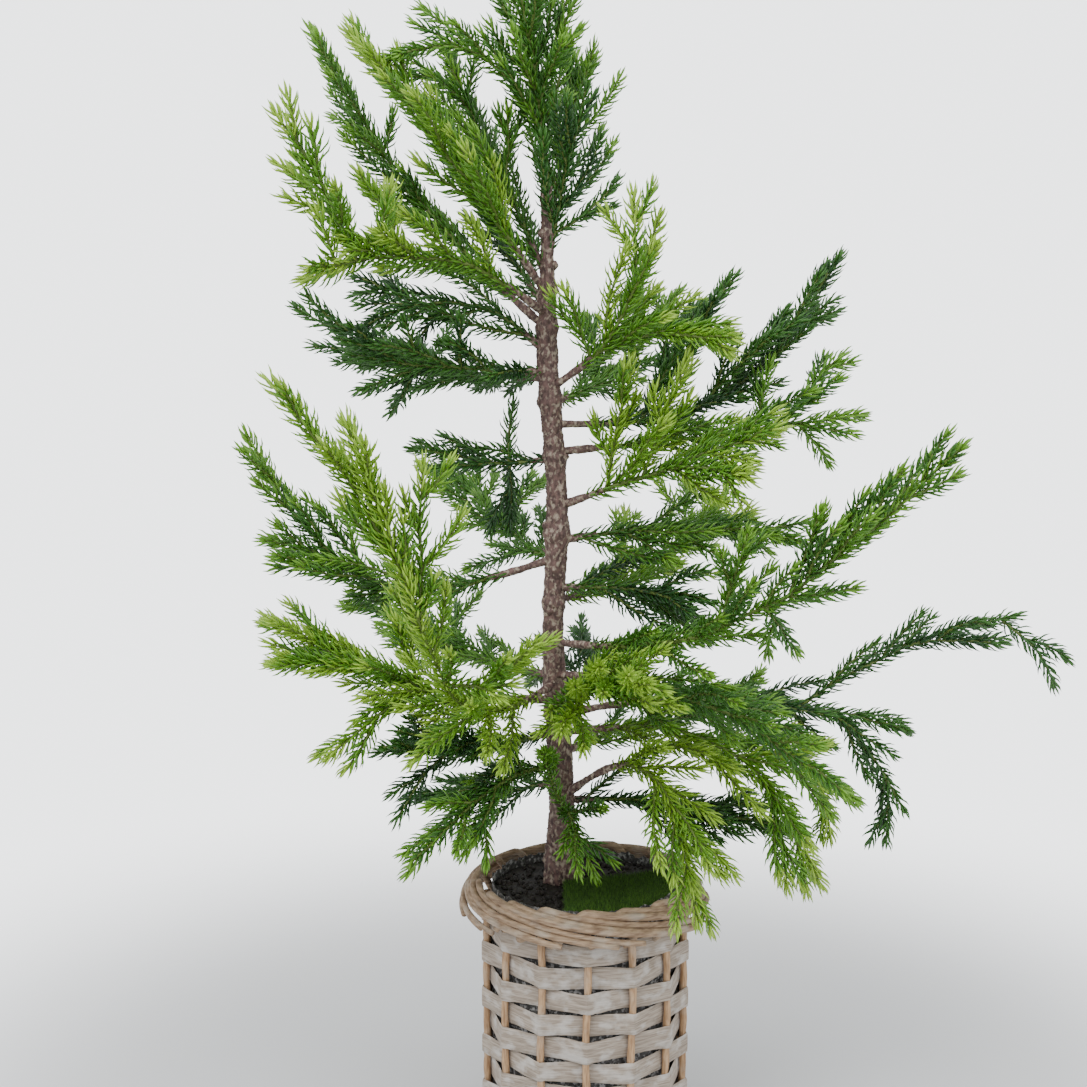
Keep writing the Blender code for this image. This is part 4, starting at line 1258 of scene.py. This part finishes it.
    def build_pile(self, outline: np.ndarray, high: float) -> None:
        """Make the blades of the pile.

        Args:
            outline: the mat's outline.
            high: the height of the backing's top.
        """
        rng = np.random.default_rng(self.seed + 5)
        low, far = outline.min(0), outline.max(0)
        grid = np.stack(np.meshgrid(np.arange(low[0], far[0], self.blade_pitch),
                                    np.arange(low[1], far[1], self.blade_pitch)), -1).reshape(-1, 2)
        grid = grid + rng.uniform(-0.5, 0.5, grid.shape) * self.blade_pitch
        edge = np.roll(outline, -1, 0) - outline
        inward = unit(np.stack([-edge[:, 1], edge[:, 0]], 1))
        depth = ((grid[:, None] - outline[None]) * inward[None]).sum(-1).min(1)
        feet = grid[depth > 0.0002]
        depth = depth[depth > 0.0002]
        count = len(feet)
        middle = outline.mean(0)
        spill = unit(feet - middle) * np.exp(-depth / 0.0016)[:, None] * 0.8
        lean = rng.normal(0.0, 0.30, (count, 2)) + spill + np.array((0.10, -0.05))
        tall = self.blade_tall * rng.uniform(0.72, 1.15, count) * (1.0 - 0.25 * np.exp(-depth / 0.0015))
        turn = rng.uniform(0.0, math.tau, count)
        base = [np.column_stack([feet + self.blade_radius * np.stack([np.cos(turn + corner * math.tau / 3),
                                                                      np.sin(turn + corner * math.tau / 3)], 1),
                                 np.full(count, high - 0.0002)]) for corner in range(3)]
        tip = np.column_stack([feet + lean * tall[:, None], high + tall])
        points = np.stack(base + [tip], 1).reshape(-1, 3)
        template = np.array(((0, 1, 3), (1, 2, 3), (2, 0, 3), (0, 2, 1)))
        tris = (template[None] + (np.arange(count) * 4)[:, None, None]).reshape(-1, 3)
        picks = np.repeat(rng.choice(3, count, p=(0.45, 0.38, 0.17)), 4)
        piece = mesh_object("turf_pile", points, [tris], list(PILE_GREEN), picks)
        settle(piece, "turf")

    def build(self) -> None:
        """Build everything in the basket."""
        self.build_liner()
        self.build_soil()
        self.build_turf()


@dataclass(frozen=True)
class PaleFloor:
    """The floor's finish: pale near the pot, and fading into the surroundings further out."""

    name: str = "pale_floor"
    colour: tuple = (0.72, 0.73, 0.74)
    solid_to: float = 0.22
    gone_at: float = 0.75

    def material(self) -> bpy.types.Material:
        """Build the material once and return it."""
        made = bpy.data.materials.new(self.name)
        made.use_nodes = True
        tree = made.node_tree
        shader = tree.nodes["Principled BSDF"]
        shader.inputs["Base Color"].default_value = (*self.colour, 1.0)
        shader.inputs["Roughness"].default_value = 0.7
        place = tree.nodes.new("ShaderNodeTexCoord").outputs["Object"]
        distance = tree.nodes.new("ShaderNodeVectorMath")
        distance.operation = "LENGTH"
        tree.links.new(place, distance.inputs[0])
        fade = ramp(tree, distance.outputs["Value"], self.gone_at, self.solid_to)
        fade.node.interpolation_type = "SMOOTHERSTEP"
        tree.links.new(fade, shader.inputs["Alpha"])
        return made


@dataclass
class Stage:
    """A plain pale floor, soft lights in a bright surround, and the camera."""

    floor_radius: float = 0.8
    camera_at: tuple = (-0.0245, -1.0739, 0.5237)
    camera_down: float = 9.2
    focal_pixels: float = 1895.0
    frame_pixels: float = 1087.0
    sensor: float = 36.0
    surround: tuple = (0.96, 0.98, 1.0)
    surround_light: float = 0.95
    surround_seen: float = 3.2

    def build_floor(self) -> None:
        """Make the round floor."""
        count = 96
        around = np.linspace(0.0, math.tau, count, endpoint=False)
        edge = self.floor_radius * np.stack([np.cos(around), np.sin(around), np.zeros(count)], 1)
        side = np.arange(count)
        tris = np.stack([side, (side + 1) % count, np.full(count, count)], 1)
        floor = mesh_object("floor", np.concatenate([edge, np.zeros((1, 3))]), [tris], [PaleFloor()])

    def build_lights(self) -> None:
        """Make the soft lights and the pale surroundings, which are seen brighter than they light."""
        lamps = (("key", (-1.25, -1.15, 1.75), 1.3, 26.0), ("fill", (1.35, -0.95, 1.10), 1.4, 11.0),
                 ("above", (0.1, -0.1, 2.1), 1.6, 16.0))
        for name, place, size, power in lamps:
            light = bpy.data.lights.new(name, "AREA")
            light.size = size
            light.energy = power
            lamp = bpy.data.objects.new(name, light)
            lamp.location = place
            aim = Vector((0.0, 0.0, 0.32)) - Vector(place)
            lamp.rotation_euler = aim.to_track_quat("-Z", "Y").to_euler()
            bpy.context.scene.collection.objects.link(lamp)
        world = bpy.data.worlds.new("pale_room")
        world.use_nodes = True
        tree = world.node_tree
        sky = tree.nodes["Background"]
        sky.inputs["Color"].default_value = (*self.surround, 1.0)
        strength = tree.nodes.new("ShaderNodeMapRange")
        strength.inputs["To Min"].default_value = self.surround_light
        strength.inputs["To Max"].default_value = self.surround_seen
        tree.links.new(tree.nodes.new("ShaderNodeLightPath").outputs["Is Camera Ray"], strength.inputs["Value"])
        tree.links.new(strength.outputs["Result"], sky.inputs["Strength"])
        bpy.context.scene.world = world

    def build_camera(self) -> None:
        """Set the camera at the photograph's viewing angle."""
        data = bpy.data.cameras.new("camera")
        data.sensor_width = self.sensor
        data.lens = self.sensor * self.focal_pixels / self.frame_pixels
        camera = bpy.data.objects.new("camera", data)
        camera.location = self.camera_at
        camera.rotation_euler = (math.radians(90.0 - self.camera_down), 0.0, 0.0)
        bpy.context.scene.collection.objects.link(camera)
        bpy.context.scene.camera = camera

    def build(self) -> None:
        """Build the stage."""
        self.build_camera()
        self.build_floor()
        self.build_lights()


def clear_scene() -> None:
    """Remove whatever the file starts with."""
    for item in list(bpy.data.objects):
        bpy.data.objects.remove(item, do_unlink=True)


def main() -> None:
    """Build the looks in order."""
    logging.basicConfig(level=logging.INFO, format="%(name)s %(message)s")
    clear_scene()
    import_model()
    Stage().build()
    trunk = Trunk()
    trunk.build()
    Crown(trunk).build()
    Basket().build()
    Filling().build()
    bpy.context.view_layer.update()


if __name__ == "__main__":
    main()
